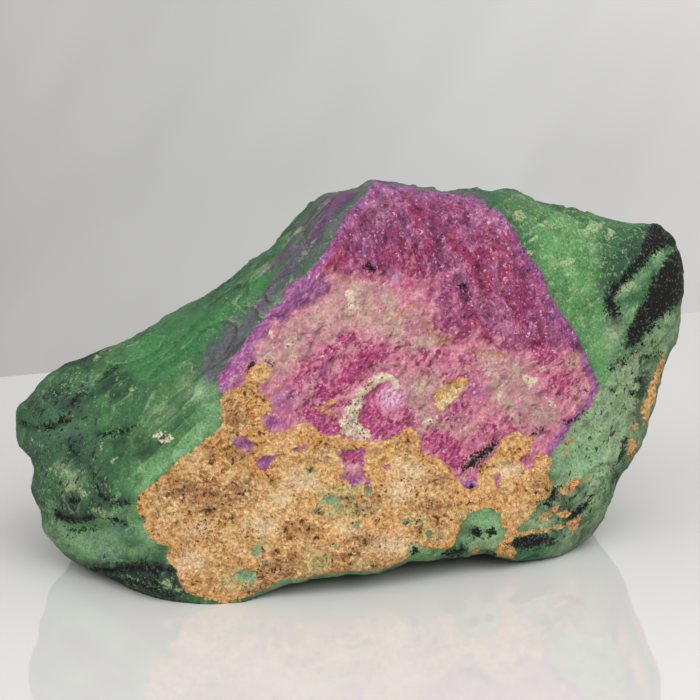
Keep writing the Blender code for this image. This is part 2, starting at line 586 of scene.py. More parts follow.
HORNBLENDE = Marking(
    "hornblende",
    patches("""
        655,222 668,227 678,238 676,246 666,246 657,251 650,258 643,267 634,275 625,284 618,291 613,297
        615,303 620,309 620,315 615,319 608,317 605,309 604,300 606,293 612,285 624,275 632,263 640,251
        647,237 650,227;
        677,250 670,254 664,262 658,270 652,280 648,290 646,300 640,308 634,316 630,325 626,335 623,346
        628,350 638,345 645,335 652,326 658,318 665,315 672,306 680,302 690,297 692,280 690,262 683,250;
        84,567 95,567 112,568 125,566 140,562 152,563 165,567 177,568 176,574 164,573 150,573 138,571
        125,573 112,572 98,571;
        510,544 518,537 530,534 545,534 556,538 553,543 540,546 528,549 516,548;
        561,519 570,513 578,508 586,500 592,495 589,506 580,514 572,520;
        541,506 546,500 551,493 556,483 558,488 555,498 548,506;
        440,554 452,549 463,545 470,549 455,556 443,557;
        468,533 474,528 482,530 480,536 470,537;
        485,532 492,529 497,533 490,538
    """) + streaks("""
        1 500,446 517,438 545,431; 1.2 560,424 572,420 586,411;
        4.5 461,468 470,465 480,456 490,450 498,441; 3 468,488 474,487; 2.2 64,362 78,358 92,353 108,347;
        1 98,381 103,377 110,371 115,366; 1.8 20,423 36,424 50,428 58,425 66,419;
        1 56,426 64,416 72,404 84,392; 2 98,435 108,434 118,432 131,427; 1.6 72,446 78,456;
        1.5 93,474 97,488 104,498 112,502 134,503; 1.6 60,506 68,501 79,500;
        2.6 56,509 57,516 64,520 76,521 93,517; 1.2 104,518 116,520 127,523; 1.3 71,531 82,531 93,530;
        3.2 106,577 122,581 140,584 156,590 176,597; 1.6 140,578 152,580 166,585; 2 485,556 496,555;
        1.8 250,373 250,367 254,363; 2.6 462,283 467,292; 1.5 612,466 616,474 613,486;
        1.8 628,436 622,450 618,462; 2 570,208 576,208; 2 586,389 590,394; 1 366,386 372,382;
        1.4 348,406 352,402; 1.2 358,404 361,402; 1 604,372 614,364 626,357 640,352;
        1 640,357 650,358 660,352
    """) + spots("""
        371,268,5,3.2,-15 318,511,3,2 332,545,4,1.6 406,523,3.4,2 414,552,3,4 267,363,3.4,2
        163,437,3.4,1.8,20 638,380,3.4,3.4 634,393,3.6,3.2
    """),
    pockets("""
        64,14,50,8,16,11 44,22,60,13,10,2.6,-12 34,29,36,26,10,4,32 -44,12,34,12,16,3,12
        -30,25,27,16,9,2.4,-24 -58,4,12,5,12,5 2,27,20,14,8,2.6,40 -16,10,60,9,8,3,50
    """),
)

FELDSPAR = Marking(
    "feldspar",
    patches("""
        341,434 340,424 345,410 352,400 358,391 364,383 372,377 381,373 391,374 397,379 402,388 396,390
        390,382 382,380 374,386 367,393 363,400 361,409 357,416 360,425 369,430 370,438 358,440 350,436;
        346,289 353,290 354,300 352,310 348,308 347,298;
        525,375 532,377 538,378 534,386 529,388 526,382
    """) + streaks("1.8 422,423 430,420 436,417") + spots("""
        288,345,4,1.8,30 270,335,1.8,4 543,367,3,4.5,-40 551,404,5,3,-40 501,394,2,5,-20
        164,437,8.6,5.6,-10
    """),
    (),
    streaks("1 366,386 372,382; 1 346,418 350,411") + spots("163,437,3.4,1.8,20"),
)

DEEP = Marking(
    "deep",
    patches("""
        345,222 356,208 372,196 400,190 440,193 470,199 490,211 506,222 519,240 525,252 541,272 549,290
        558,308 573,328 584,346 570,350 555,348 540,346 522,352 500,343 480,336 462,339 452,335 445,320
        437,300 430,280 415,275 395,268 385,275 372,280 360,275 345,268 328,268 333,245
    """),
    pockets("16,26,46,13,12,8,20"),
)

VIOLET = Marking(
    "violet",
    patches("""
        216,380 235,356 250,338 262,320 272,308 284,296 290,284 305,276 322,276 331,285 318,299 300,308
        288,316 276,322 268,335 255,350 248,362 238,380 226,393 218,392;
        484,203 496,208 508,219 521,236 532,256 541,272 535,268 523,250 511,233 500,220 490,211;
        541,272 549,292 558,308 573,328 585,347 576,349 562,334 549,316 541,296;
        597,377 598,394 590,406 577,420 566,432 554,448 548,450 556,434 570,418 584,404 590,392
    """) + streaks("""
        5 333,240 345,222 358,207; 4.5 340,480 352,481 366,480; 3.6 462,484 470,484 477,480;
        3.2 318,221 328,215 334,211; 3.8 326,205 336,199 346,194; 1.8 256,274 270,264 285,255 298,246;
        3 360,189 372,191 384,190
    """) + spots("264,464,9,6 244,444,8,6 275,424,9,6"),
)

BEIGE = Marking(
    "beige",
    patches("""
        268,330 290,318 310,308 330,293 334,274 350,274 375,281 392,286 400,300 398,310 415,304 432,312
        440,328 446,342 435,350 415,352 395,345 385,335 370,335 352,328 335,335 322,345 305,355 285,372
        272,378 260,362 254,352 260,340;
        478,352 510,350 528,362 525,380 540,400 560,410 555,425 530,428 510,420 495,405 490,385 478,370;
        404,374 440,370 452,398 442,426 412,434 404,404
    """) + spots("412,385,13,9 575,360,12,7 575,396,10,8 460,425,14,8"),
)

HOT = Marking(
    "hot",
    patches("""
        313,398 316,388 330,382 340,370 352,361 362,350 372,345 384,343 388,352 378,362 366,368 358,378
        348,384 340,393 330,399;
        337,341 342,334 349,334 358,332 356,338 347,342;
        304,404 312,401 318,412 330,420 340,427 336,437 322,436 310,424 302,414;
        365,404 368,391 378,384 384,384 376,396 380,412 392,420 404,424 398,436 382,441 366,434 358,424
        357,412;
        400,404 412,410 420,420 414,430 402,428;
        424,438 434,430 448,434 458,446 466,458 464,474 452,468 440,456 430,448;
        532,352 545,349 556,353 552,362 540,364 530,358;
        553,378 565,375 573,385 562,393 551,388;
        498,296 512,287 522,294 512,303
    """) + streaks("""
        2.2 293,388 299,377 307,368 317,359; 2 440,420 452,412 470,406; 1.6 472,440 486,430 500,424;
        7 400,214 408,228 416,245 430,262; 8 392,262 410,270 428,268
    """) + spots("328,350,5.5,4.5 476,252,8,5 526,286,9,5 543,343,10,3 350,456,12,6 523,458,6,5"),
    pockets("14,26,40,10,12,5,30"),
)

FLECKS = Marking(
    "flecks",
    patches("""
        300,364 330,340 362,336 392,340 440,344 476,350 484,384 474,400 478,420 456,440 420,438 440,404
        420,372 380,368 350,400 330,440 300,420 284,396;
        520,345 560,345 588,362 592,392 570,412 556,398 548,372;
        470,420 520,410 548,430 500,446
    """) + spots("440,325,16,8"),
    pockets("16,26,40,12,12,6,30"),
)

# Pale pink to near-white: partly the ruby's paler crystals, partly painted highlights on its facets.
PALE_PINK_AND_HIGHLIGHT = Marking(
    "pale_pink_and_highlight",
    patches("""
        377,392 388,382 400,384 406,394 402,406 392,412 382,408 376,402;
        366,224 374,214 386,210 392,216 386,226 376,230
    """) + spots("""
        492,268,5,6 478,218,8,6 426,228,5,9 500,218,8,8 396,276,6,7 505,325,8,6 322,255,8,5 300,290,10,5
    """),
)

LILAC = Marking(
    "lilac",
    patches("""
        208,384 200,366 206,348 222,332 240,316 256,298 266,284 276,270 284,250 298,226 306,210 318,196
        350,186 384,180 430,186 470,190 484,200 455,196 380,188 358,206 336,236 314,262 290,286 272,308
        256,328 240,350 226,366 214,380
    """),
    pockets("16,26,44,22,13,17,20 -22,27,16,17,10,11,-15 -12,10,62,14,12,8,40"),
)

PALE = Marking(
    "pale",
    patches("""
        556,448 570,428 588,408 600,380 612,352 636,352 654,366 650,402 636,440 616,470 600,500 588,520
        570,500 562,480 552,470;
        606,312 622,318 620,346 604,368 594,350;
        636,352 650,336 664,322 678,310 680,330 670,350 660,350 648,358;
        548,556 560,540 580,524 600,500 606,512 594,532 576,548 560,558;
        462,516 478,510 500,512 502,530 500,550 470,552 460,540;
        552,480 566,470 590,470 606,476 600,498 580,508 560,510 548,500;
        522,520 540,512 556,514 556,530 536,532 520,528;
        225,486 440,480 440,570 400,564 330,576 225,592;
        412,552 430,550 442,556 430,561 412,561
    """) + spots("""
        560,244,16,10,40 148,534,9,12 490,517,12,6 195,392,9,14,60 160,415,12,8,40 52,538,9,12,40
        86,546,34,11,-12 68,474,10,9,-20 110,515,16,3
    """),
    pockets("54,20,30,12,12,16 -8,28,34,16,9,10 -52,8,24,8,14,6"),
)

FROST = Marking(
    "frost",
    patches("""
        511,213 517,211 522,212 525,218 520,221 514,219;
        539,224 545,221 551,224 556,221 554,227 549,230 543,229;
        586,224 593,221 600,221 605,223 602,228 598,232 590,232 587,238 585,232;
        605,232 610,230 614,232 612,238 607,239;
        524,252 530,250 534,252 530,255 526,255;
        557,263 562,258 566,262 570,258 577,257 573,263 566,266 560,267;
        580,258 587,256 588,261 583,263;
        581,316 586,318 586,330 582,333 580,326;
        655,250 660,248 662,252 657,256 652,258 651,253;
        622,283 628,281 634,282 630,289 624,294 618,297 616,294;
        592,424 598,421 602,425 599,433 594,430;
        592,405 597,402 600,406 595,409;
        64,486 70,484 78,487 88,493 84,497 74,492 67,491;
        89,509 95,507 103,508 101,512 93,513;
        156,582 166,580 176,584 184,590 176,591 166,587;
        556,406 563,402 570,404 566,409 558,409
    """) + streaks("""
        1.6 522,247 529,241 537,235; 1.4 601,272 602,280 600,287; 1.2 590,294 591,302 590,310;
        0.9 554,289 562,288 572,290 582,289; 1.5 547,274 550,280 552,287; 1.5 52,464 58,468 66,470 70,477;
        0.9 54,476 58,470 64,463; 1.3 100,438 101,444 101,450; 1.3 112,463 115,459 118,457;
        0.7 187,403 193,398 200,390; 0.7 128,389 134,390 138,385; 0.9 94,360 100,352 108,348;
        1.2 300,262 306,252 318,236; 0.9 282,246 292,236 302,227; 0.8 118,555 124,549 138,547;
        0.7 134,562 136,555 134,549; 1 120,584 130,580 142,580; 0.8 60,488 68,480 72,472;
        0.8 40,478 46,470 54,468; 0.8 160,478 168,473 178,466
    """) + spots("562,248,1.6,3 581,250,3.4,1.2,15 568,274,1.8,4.4,-20 588,277,3,1.4,30"),
    pockets("40,24,44,7,8,1.4,40 -36,22,24,8,8,1,25 6,28,44,9,8,1,-30 60,8,36,8,9,1.2,60"),
)

CHIPS = Marking(
    "chips",
    patches("""
        212,352 198,354 184,364 174,371 163,381 154,390 149,399 147,406 141,413 143,420 137,424 134,429
        128,434 120,446 128,456 142,448 158,430 176,416 190,404 196,388 204,374 212,362;
        232,302 240,292 252,281 264,270 274,262 270,280 262,296 250,306 244,312 238,306;
        100,352 112,346 126,340 120,352 110,362 100,372 92,382 84,390 88,378 95,364;
        108,549 122,541 140,540 152,548 148,560 134,563 116,560;
        20,404 34,388 52,376 60,374 50,384 40,396 28,410;
        548,292 566,286 588,292 596,312 590,332 584,344 572,326 560,310;
        500,206 514,196 536,204 548,216 530,232 520,240 508,224;
        296,232 308,216 322,204 334,196 330,206 318,222 304,240;
        60,520 84,524 104,530 118,544 104,552 84,548 66,538
    """),
    pockets("""
        30,30,48,14,8,9,35 -24,26,34,12,9,7,-20 58,16,40,8,12,10 -50,14,26,9,12,8 -4,29,14,15,6,8
        10,14,68,18,8,6
    """),
)

FLAKY = Marking(
    "flaky",
    patches("""
        500,210 520,200 560,205 620,219 650,223 636,252 612,280 600,310 606,330 612,350 596,356 586,346
        572,326 558,306 548,288 540,270 528,252 516,232;
        552,458 566,434 590,410 606,382 622,356 640,352 640,390 622,440 604,486 588,470 560,490;
        24,440 50,440 70,470 110,480 118,500 70,500 50,540 42,520 34,480
    """) + spots("150,585,34,10,-10 70,385,30,10,20"),
    pockets("40,24,52,26,14,14 -46,14,20,20,18,12 4,28,30,20,8,14,30"),
)

MINT = Marking(
    "mint",
    patches("""
        614,299 620,290 628,285 636,281 644,272 652,264 659,255 665,249 669,251 664,260 656,270 647,278
        638,286 628,293 619,298;
        272,298 280,296 285,300 284,308 276,310 271,305;
        195,392 200,384 207,377 208,385 205,392 198,398;
        206,384 220,386 222,410 212,424 204,404;
        216,396 222,402 222,414 204,436 180,458 156,476 140,494 134,488 152,470 178,450 200,426;
        560,452 576,440 600,440 600,466 576,476 558,470;
        62,528 84,534 104,530 126,544 150,548 140,560 100,554 70,546
    """) + streaks("""
        2.4 252,600 270,592 284,584 305,579 330,576 352,574 380,571 402,564; 5 50,500 56,524 68,540;
        8 466,538 482,530 498,526
    """) + spots("148,534,6,12 172,552,5,8 628,315,8,10"),
)

FRESH = Marking(
    "fresh",
    patches("""
        230,302 245,285 262,264 276,262 270,280 258,300 240,311;
        196,346 206,328 218,310 232,300 226,318 214,334 204,350;
        126,350 170,326 200,312 210,322 196,352 170,378 140,380 126,366
    """),
)

# Lighter green: partly paler zoisite, partly painted light on faces that take more light and on a strip
# under the crust lightened out of shade.
LIGHTER_GREEN_AND_LIT = Marking(
    "bright",
    patches("""
        536,208 560,212 592,218 602,234 600,262 600,290 604,330 610,352 604,386 594,372 586,350 574,328
        558,306 548,288 540,270 534,252 536,228;
        222,388 222,410 214,430 196,446 176,462 158,478 142,492 128,486 134,468 150,456 166,444 182,428
        198,410 212,394;
        412,553 430,550 444,555 430,562 412,562;
        66,526 124,526 150,540 130,558 90,558 60,545;
        130,500 146,498 150,520 150,545 138,540 128,520
    """) + spots("482,522,12,9"),
    pockets("44,24,34,16,10,12 -34,22,14,14,10,8 24,16,66,16,8,8"),
)

# Dark green patches: partly dark mottled zoisite, partly painted shade where the stone lies in shadow.
DARK_MOTTLE_AND_SHADE = Marking(
    "dark_mottle_and_shade",
    patches("""
        98,392 101,382 110,372 118,370 122,384 120,392 108,394;
        62,442 76,436 88,446 88,462 80,472 66,464;
        90,470 104,478 114,494 134,500 128,508 104,504 94,490;
        60,366 80,356 108,346 104,356 90,366 74,372;
        18,406 30,396 44,402 40,414 22,416;
        56,520 60,506 76,501 92,504 96,516 70,522;
        80,567 130,556 178,564 184,598 150,600 112,584;
        558,496 572,492 588,492 584,504 570,512 558,510;
        640,224 652,223 645,250 636,262 618,282 606,296 600,290 612,262 626,240
    """) + streaks("""
        1.6 600,512 590,526 576,540; 2.4 540,204 560,208 584,214; 2.4 118,444 134,440 146,442
    """) + spots("""
        146,452,12,5,35 110,384,22,8,30 646,384,6,16,-10 60,398,24,10,-30 474,530,6,5 618,322,6,5
    """),
    pockets("50,22,50,18,12,10 -40,16,30,20,18,7 -56,4,14,10,14,9 32,29,34,30,10,9,32"),
)

PLUM = Marking(
    "plum",
    patches("""
        321,209 326,200 336,195 350,191 356,194 346,200 336,206 328,211;
        314,225 318,217 328,213 336,215 328,222 319,228
    """) + streaks("""
        1.6 257,274 268,266 278,259 288,251 298,246; 1 300,250 312,236 322,226;
        1.2 246,322 258,306 270,292
    """) + spots("384,184,22,2.4"),
    pockets("10,24,46,9,9,2,40 26,24,36,8,9,1.8,-30 -30,24,18,7,9,1.6,20"),
)

SLATE = Marking(
    "slate",
    streaks("""
        1.8 84,394 92,389 102,386; 2 26,450 34,441; 2.2 64,441 72,434; 1.6 78,543 92,537 104,539;
        1.8 96,558 108,554 122,554; 1.4 112,525 126,534 140,547
    """),
    pockets("-52,26,22,7,9,2,20"),
)

MAUVE = Marking(
    "mauve",
    patches("""
        352,212 366,196 388,189 402,196 406,214 396,236 388,256 376,262 358,258 342,256 338,240;
        408,192 440,194 470,200 480,208 474,222 458,232 442,226 430,208 414,204;
        500,232 516,244 528,262 540,284 536,300 520,284 510,262 498,248;
        456,262 470,284 468,310 456,300
    """) + spots("436,262,7,14,70 560,336,14,8,-40 480,392,8,5 284,402,12,10 326,372,10,5,45"),
)

SPECKLED = Marking(
    "speckled",
    patches("""
        560,470 575,440 592,412 606,378 618,350 640,348 650,330 668,318 672,330 652,392 640,420 624,460
        614,486 600,520 588,536 562,545 548,520 556,490;
        24,400 60,372 90,376 96,420 104,470 100,530 64,545 44,520 36,470 20,440;
        90,560 180,560 190,600 150,600 110,584
    """),
    pockets("60,12,26,10,18,24 0,30,30,50,8,14,10 -56,10,20,12,16,20"),
)

RUST = Marking(
    "rust",
    patches("249,410 252,412 254,416 257,421 251,420 249,415")
    + streaks("2 396,318 404,310 418,304; 2 420,316 430,330 442,338; 1.6 340,281 352,279 362,283")
    + spots("500,355,8,3 445,341,8,4 479,353,7,3 575,356,6,4"),
)

BROWN = Marking(
    "brown",
    patches("""
        258,560 300,552 306,566 290,576 262,582 250,576;
        340,550 356,544 362,556 350,570 342,568
    """) + spots("""
        360,505,26,12 430,508,16,10 437,480,12,8 210,500,26,18 180,490,18,12 238,452,16,10 236,420,10,12
        240,490,14,14 230,408,12,8 300,530,24,10 365,540,18,8 420,524,6,14 540,484,8,10 160,510,8,5
    """),
)

MOSSY = Marking(
    "mossy",
    patches("306,556 318,546 330,552 334,566 320,576 304,572") + spots("""
        340,490,30,6 345,510,34,8 258,545,12,8 365,565,10,5 470,515,14,6 540,520,20,8 550,530,26,4
        240,580,18,12 435,535,12,8 310,474,8,8 590,355,5,10 415,520,14,6
    """),
)

CREAM = Marking(
    "cream",
    spots("""
        262,526,16,10 282,500,12,7,20 350,528,12,7 400,490,14,12 392,545,20,10 300,480,16,10
        450,400,18,8,35 190,560,12,10 200,530,12,6 330,455,10,6 410,470,16,8 510,470,16,8 430,560,10,5
    """),
)

MARKINGS = (
    RUBY, CRUST, HORNBLENDE, FELDSPAR, DEEP, VIOLET, BEIGE, HOT, FLECKS, PALE_PINK_AND_HIGHLIGHT, LILAC, PALE, FROST, FLAKY,
    CHIPS, MAUVE, SLATE, PLUM, MINT, FRESH, LIGHTER_GREEN_AND_LIT, DARK_MOTTLE_AND_SHADE, SPECKLED, RUST, BROWN, MOSSY, CREAM,
)


# ---------------------------------------------------------------- the stone's skin


@dataclass
class Skin:
    """The stone's surface: a box-shaped grid of quads blown onto the solid."""

    points: Points
    quads: np.ndarray
    corner_uv: np.ndarray
    view: StudioView
    normals: Points = field(init=False)
    places: np.ndarray = field(init=False)
    facing: np.ndarray = field(init=False)
    mm_per_px: np.ndarray = field(init=False)
    warped: Points = field(init=False)

    def __post_init__(self) -> None:
        """Work out the normals and the places in the frame."""
        self.refresh()

    def refresh(self) -> None:
        """Work out each point's normal, frame pixel, facing and scale again after a move."""
        corners = self.points[self.quads]
        across = np.cross(corners[:, 2] - corners[:, 0], corners[:, 3] - corners[:, 1])
        normals = np.zeros_like(self.points)
        for corner in range(4):
            for axis in range(3):
                normals[:, axis] += np.bincount(
                    self.quads[:, corner], across[:, axis], minlength=len(self.points)
                )
        self.normals = normals / np.maximum(np.linalg.norm(normals, axis=1, keepdims=True), 1e-9)
        self.places, depth = self.view.project(self.points)
        self.facing = self.view.facing(self.points, self.normals)
        self.mm_per_px = depth / self.view.focal_px

    def warp(self, *swirls: Pair) -> None:
        """Push the places in which the pockets are measured about, by noises of a length and reach in mm.

        Args:
            swirls: each noise's length and reach.
        """
        self.warped = self.points
        for number, (length, reach) in enumerate(swirls):
            self.warped = self.warped + swirl(self.points, length, reach, PUSH_SEED + 3 * number)

    def neighbour_mean(self, values: np.ndarray) -> np.ndarray:
        """Mean of each point's grid neighbours.

        Args:
            values: (n, k) numbers at the points.

        Returns:
            (n, k) means.
        """
        here = self.quads.ravel()
        there = np.roll(self.quads, -1, axis=1).ravel()
        count = np.bincount(here, minlength=len(values))
        total = [np.bincount(here, column[there], minlength=len(values)) for column in values.T]
        return np.stack(total, axis=1) / count[:, None]


@dataclass(frozen=True)
class UvTile:
    """A rectangle of the texture sheet: left, bottom, width and height, each from 0 to 1."""

    left: float
    bottom: float
    width: float
    height: float


class Side(Enum):
    """The six sides of the grid: the axis that is square to it, which end, and its texture tile."""

    FRONT = (1, 0, UvTile(0.005, 0.445, 0.99, 0.55))
    BACK = (1, 1, UvTile(0.005, 0.10, 0.60, 0.335))
    TOP = (2, 1, UvTile(0.615, 0.245, 0.38, 0.19))
    LEFT = (0, 0, UvTile(0.615, 0.005, 0.185, 0.23))
    RIGHT = (0, 1, UvTile(0.81, 0.005, 0.185, 0.23))
    BOTTOM = (2, 0, UvTile(0.005, 0.005, 0.60, 0.085))


@dataclass(frozen=True)
class BoxGrid:
    """A box whose six sides are grids of quads that share their edges."""

    cells: tuple[int, int, int]

    def side(self, side: Side) -> tuple[np.ndarray, np.ndarray]:
        """Work out one side's quads.

        Args:
            side: which side of the box.

        Returns:
            (m, 4, 3) whole-number corners of the quads, facing out, and (m, 4, 2) texture places.
        """
        axis, end, tile = side.value
        first, second = (axis + 1) % 3, (axis + 2) % 3
        i, j = np.meshgrid(np.arange(self.cells[first]), np.arange(self.cells[second]), indexing="ij")
        steps = ((0, 0), (1, 0), (1, 1), (0, 1)) if end else ((0, 0), (0, 1), (1, 1), (1, 0))
        corners = np.zeros((i.size, 4, 3), np.int64)
        corners[:, :, axis] = end * self.cells[axis]
        places = np.zeros((i.size, 4, 2))
        wide_first = self.cells[first] >= self.cells[second]
        for corner, (di, dj) in enumerate(steps):
            corners[:, corner, first] = i.ravel() + di
            corners[:, corner, second] = j.ravel() + dj
            share = np.stack(
                [(i.ravel() + di) / self.cells[first], (j.ravel() + dj) / self.cells[second]], axis=1
            )
            places[:, corner] = share if wide_first else share[:, ::-1]
        size = np.array([tile.width, tile.height])
        return corners, np.array([tile.left, tile.bottom]) + places * size

    def build(self) -> tuple[np.ndarray, np.ndarray, np.ndarray]:
        """Join the six sides.

        Returns:
            (n, 3) points from -1 to 1, (m, 4) quads, and (m, 4, 2) texture places.
        """
        sides = [self.side(side) for side in Side]
        corners = np.concatenate([corners for corners, _ in sides])
        step = np.array(self.cells) + 1
        keys = corners[..., 0] + step[0] * (corners[..., 1] + step[1] * corners[..., 2])
        unique, quads = np.unique(keys, return_inverse=True)
        whole = np.stack(
            [unique % step[0], unique // step[0] % step[1], unique // (step[0] * step[1])], axis=1
        )
        points = whole / np.array(self.cells) * 2.0 - 1.0
        return points, quads.reshape(keys.shape), np.concatenate([places for _, places in sides])


class Wrap(Enum):
    """How a grid is laid on a solid: inwards along the grid's normals, or to the nearest place."""

    INWARDS = "PROJECT"
    NEAREST = "NEAREST_SURFACEPOINT"


@dataclass(frozen=True)
class StoneShape:
    """Builds the smooth skin: the solid's shape, then the drawn outline, then the base's overhang."""

    cells: tuple[int, int, int] = (230, 60, 120)
    heart: Triple = (2.0, 3.0, 29.0)
    half_box: Triple = (63.0, 30.0, 35.0)
    blow_radius: float = 90.0
    evening_passes: int = 3
    evening_rounds: int = 20
    solid_smoothing: int = 3
    smoothing_factor: float = 0.5
    solid_levels: int = 2
    outline_middle: Pair = (350.0, 394.0)
    outline_bins: int = 300
    outline_steps: int = 12
    outline_rounds: int = 4
    base_rounds: int = 6
    base_fade: Pair = (1.0, 3.0)
    rim_lifts: tuple[Pair, ...] = (
        (225.0, 0.0), (290.0, 1.1), (340.0, 1.8), (410.0, 2.0), (480.0, 1.4), (545.0, 0.4), (575.0, 0.0),
    )
    rim_fade: Pair = (3.0, 24.0)
    rim_facing: Pair = (-0.40, -0.10)

    def smooth_solid(self) -> bpy.types.Object:
        """Copy the CAD stone, merge its loose triangles and round its facets.

        Returns:
            A helper object, to be removed after use.
        """
        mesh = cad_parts[NODE].data.copy()
        body = bmesh.new()
        body.from_mesh(mesh)
        bmesh.ops.remove_doubles(body, verts=body.verts, dist=1e-6)
        body.to_mesh(mesh)
        body.free()
        solid = placed("smooth_solid", mesh)
        smooth = solid.modifiers.new("smooth", "SMOOTH")
        smooth.factor = self.smoothing_factor
        smooth.iterations = self.solid_smoothing
        finer = solid.modifiers.new("finer", "SUBSURF")
        finer.levels = self.solid_levels
        finer.render_levels = self.solid_levels
        return solid

    def wrap(self, points: Points, quads: np.ndarray, solid: bpy.types.Object, method: Wrap) -> Points:
        """Lay points on a solid's surface with a Shrinkwrap modifier.

        Args:
            points: (n, 3) places in mm.
            quads: (m, 4) the faces between them.
            solid: the solid.
            method: how.

        Returns:
            (n, 3) places on the surface, in mm.
        """
        mesh = bpy.data.meshes.new("balloon")
        mesh.from_pydata((points * MM).tolist(), [], quads.tolist())
        balloon = placed("balloon", mesh)
        modifier = balloon.modifiers.new("wrap", "SHRINKWRAP")
        modifier.target = solid
        modifier.wrap_method = method.value
        modifier.use_positive_direction = False
        modifier.use_negative_direction = True
        wrapped = balloon.evaluated_get(bpy.context.evaluated_depsgraph_get()).to_mesh()
        flat = np.zeros(points.size)
        wrapped.vertices.foreach_get("co", flat)
        bpy.data.objects.remove(balloon)
        bpy.data.meshes.remove(mesh)
        return flat.reshape(-1, 3) / MM

    def blown_grid(self, view: StudioView) -> Skin:
        """Lay the box grid on the smoothed solid, from a ball round the stone's heart, and even it out.

        Evening out moves each point to the mean of its neighbours, many times, and then back to the
        surface.

        Args:
            view: the view that the markings are drawn in.

        Returns:
            The bare skin.
        """
        unit, quads, corner_uv = BoxGrid(self.cells).build()
        rays = unit * np.array(self.half_box)
        rays /= np.linalg.norm(rays, axis=1, keepdims=True)
        solid = self.smooth_solid()
        ball = np.array(self.heart) + rays * self.blow_radius
        skin = Skin(self.wrap(ball, quads, solid, Wrap.INWARDS), quads, corner_uv, view)
        for _ in range(self.evening_passes):
            for _ in range(self.evening_rounds):
                skin.points = skin.neighbour_mean(skin.points)
            skin.points = self.wrap(skin.points, quads, solid, Wrap.NEAREST)
        mesh = solid.data
        bpy.data.objects.remove(solid)
        bpy.data.meshes.remove(mesh)
        skin.refresh()
        return skin

    def fit_outline(self, skin: Skin) -> None:
        """Move the skin square to the view until its silhouette is the drawn outline.

        Both are radii about a middle, by angle. A point moves by the difference at its angle,
        times the cube of its own share of the silhouette's radius. After each move the points near
        the ground are evened out, so that the rim of the base is round.

        Args:
            skin: the surface to move.
        """
        edge = ring(OUTLINE)
        fine = np.concatenate(
            [a + (b - a) * np.linspace(0.0, 1.0, self.outline_steps, endpoint=False)[:, None]
             for a, b in zip(edge[:-1], edge[1:])]
        )
        middle = np.array(self.outline_middle)
        drawn_angle, drawn_radius = polar(fine - middle)
        order = np.argsort(drawn_angle)
        centres = (np.arange(self.outline_bins) + 0.5) / self.outline_bins * math.tau - math.pi
        wanted = np.interp(centres, drawn_angle[order], drawn_radius[order], period=math.tau)
        for _ in range(self.outline_rounds):
            skin.refresh()
            away = skin.places - middle
            angle, radius = polar(away)
            bins = ((angle + math.pi) / math.tau * self.outline_bins).astype(int)
            bins %= self.outline_bins
            reach = np.zeros(self.outline_bins)
            np.maximum.at(reach, bins, radius)
            ratio = wanted / np.maximum(reach, 1.0)
            ratio = (np.roll(ratio, 1) + 2.0 * ratio + np.roll(ratio, -1)) / 4.0
            here = np.interp(angle, centres, ratio, period=math.tau)
            outer = np.interp(angle, centres, reach, period=math.tau)
            weight = np.clip(radius / np.maximum(outer, 1.0), 0.0, 1.0) ** 3
            depth = skin.mm_per_px * skin.view.focal_px
            skin.points += skin.view.shift(away * ((here - 1.0) * weight)[:, None], depth)
            skin.points = skin.view.grounded(skin.points)
            low = 1.0 - smooth_step(skin.points[:, 2:], *self.base_fade)
            for _ in range(self.base_rounds):
                skin.points += low * (skin.neighbour_mean(skin.points) - skin.points)
        skin.refresh()

    def undercut(self, skin: Skin) -> None:
        """Let the front rim of the base overhang, where the stone rests further back.

        A point p moves towards the eye e by (e - p) w c / h, with h the eye's height, c the rim's
        lift there in mm, and w fading out up the face and under the base. The outline stays.

        Args:
            skin: the surface to move.
        """
        across, lifts = np.array(self.rim_lifts).T
        lift = np.interp(skin.places[:, 0], across, lifts)
        share = 1.0 - smooth_step(skin.points[:, 2], *self.rim_fade)
        share *= smooth_step(skin.facing, *self.rim_facing)
        eye = np.array(skin.view.eye)
        skin.points += (eye - skin.points) * (lift * share / eye[2])[:, None]
        skin.refresh()

    def build(self, view: StudioView) -> Skin:
        """Build the skin with its outline, without relief.

        Args:
            view: the view that the outline is drawn in.

        Returns:
            The skin.
        """
        skin = self.blown_grid(view)
        self.fit_outline(skin)
        self.undercut(skin)
        return skin


@dataclass(frozen=True)
class Ledge:
    """A crease or groove drawn in the frame: its line, its height in mm and its half width in mm."""

    line: str
    height: float
    width: float
    facing_fade: Pair = (-0.05, 0.15)

    def rise(self, skin: Skin) -> np.ndarray:
        """Height over the surface in mm: a bell curve of the distance to the line."""
        distance, _ = segment_distance(skin.places, trace(self.line))
        bell = np.exp(-((distance * skin.mm_per_px / self.width) ** 2))
        return self.height * bell * smooth_step(skin.facing, *self.facing_fade)


def ledges(text: str) -> tuple[Ledge, ...]:
    """Several ledges from their heights, half widths and points, as in "0.7,1.6 138,500 160,478"."""
    parts = (part.split(maxsplit=1) for part in text.split(";"))
    return tuple(Ledge(line, *rows(sizes)[0]) for sizes, line in parts)


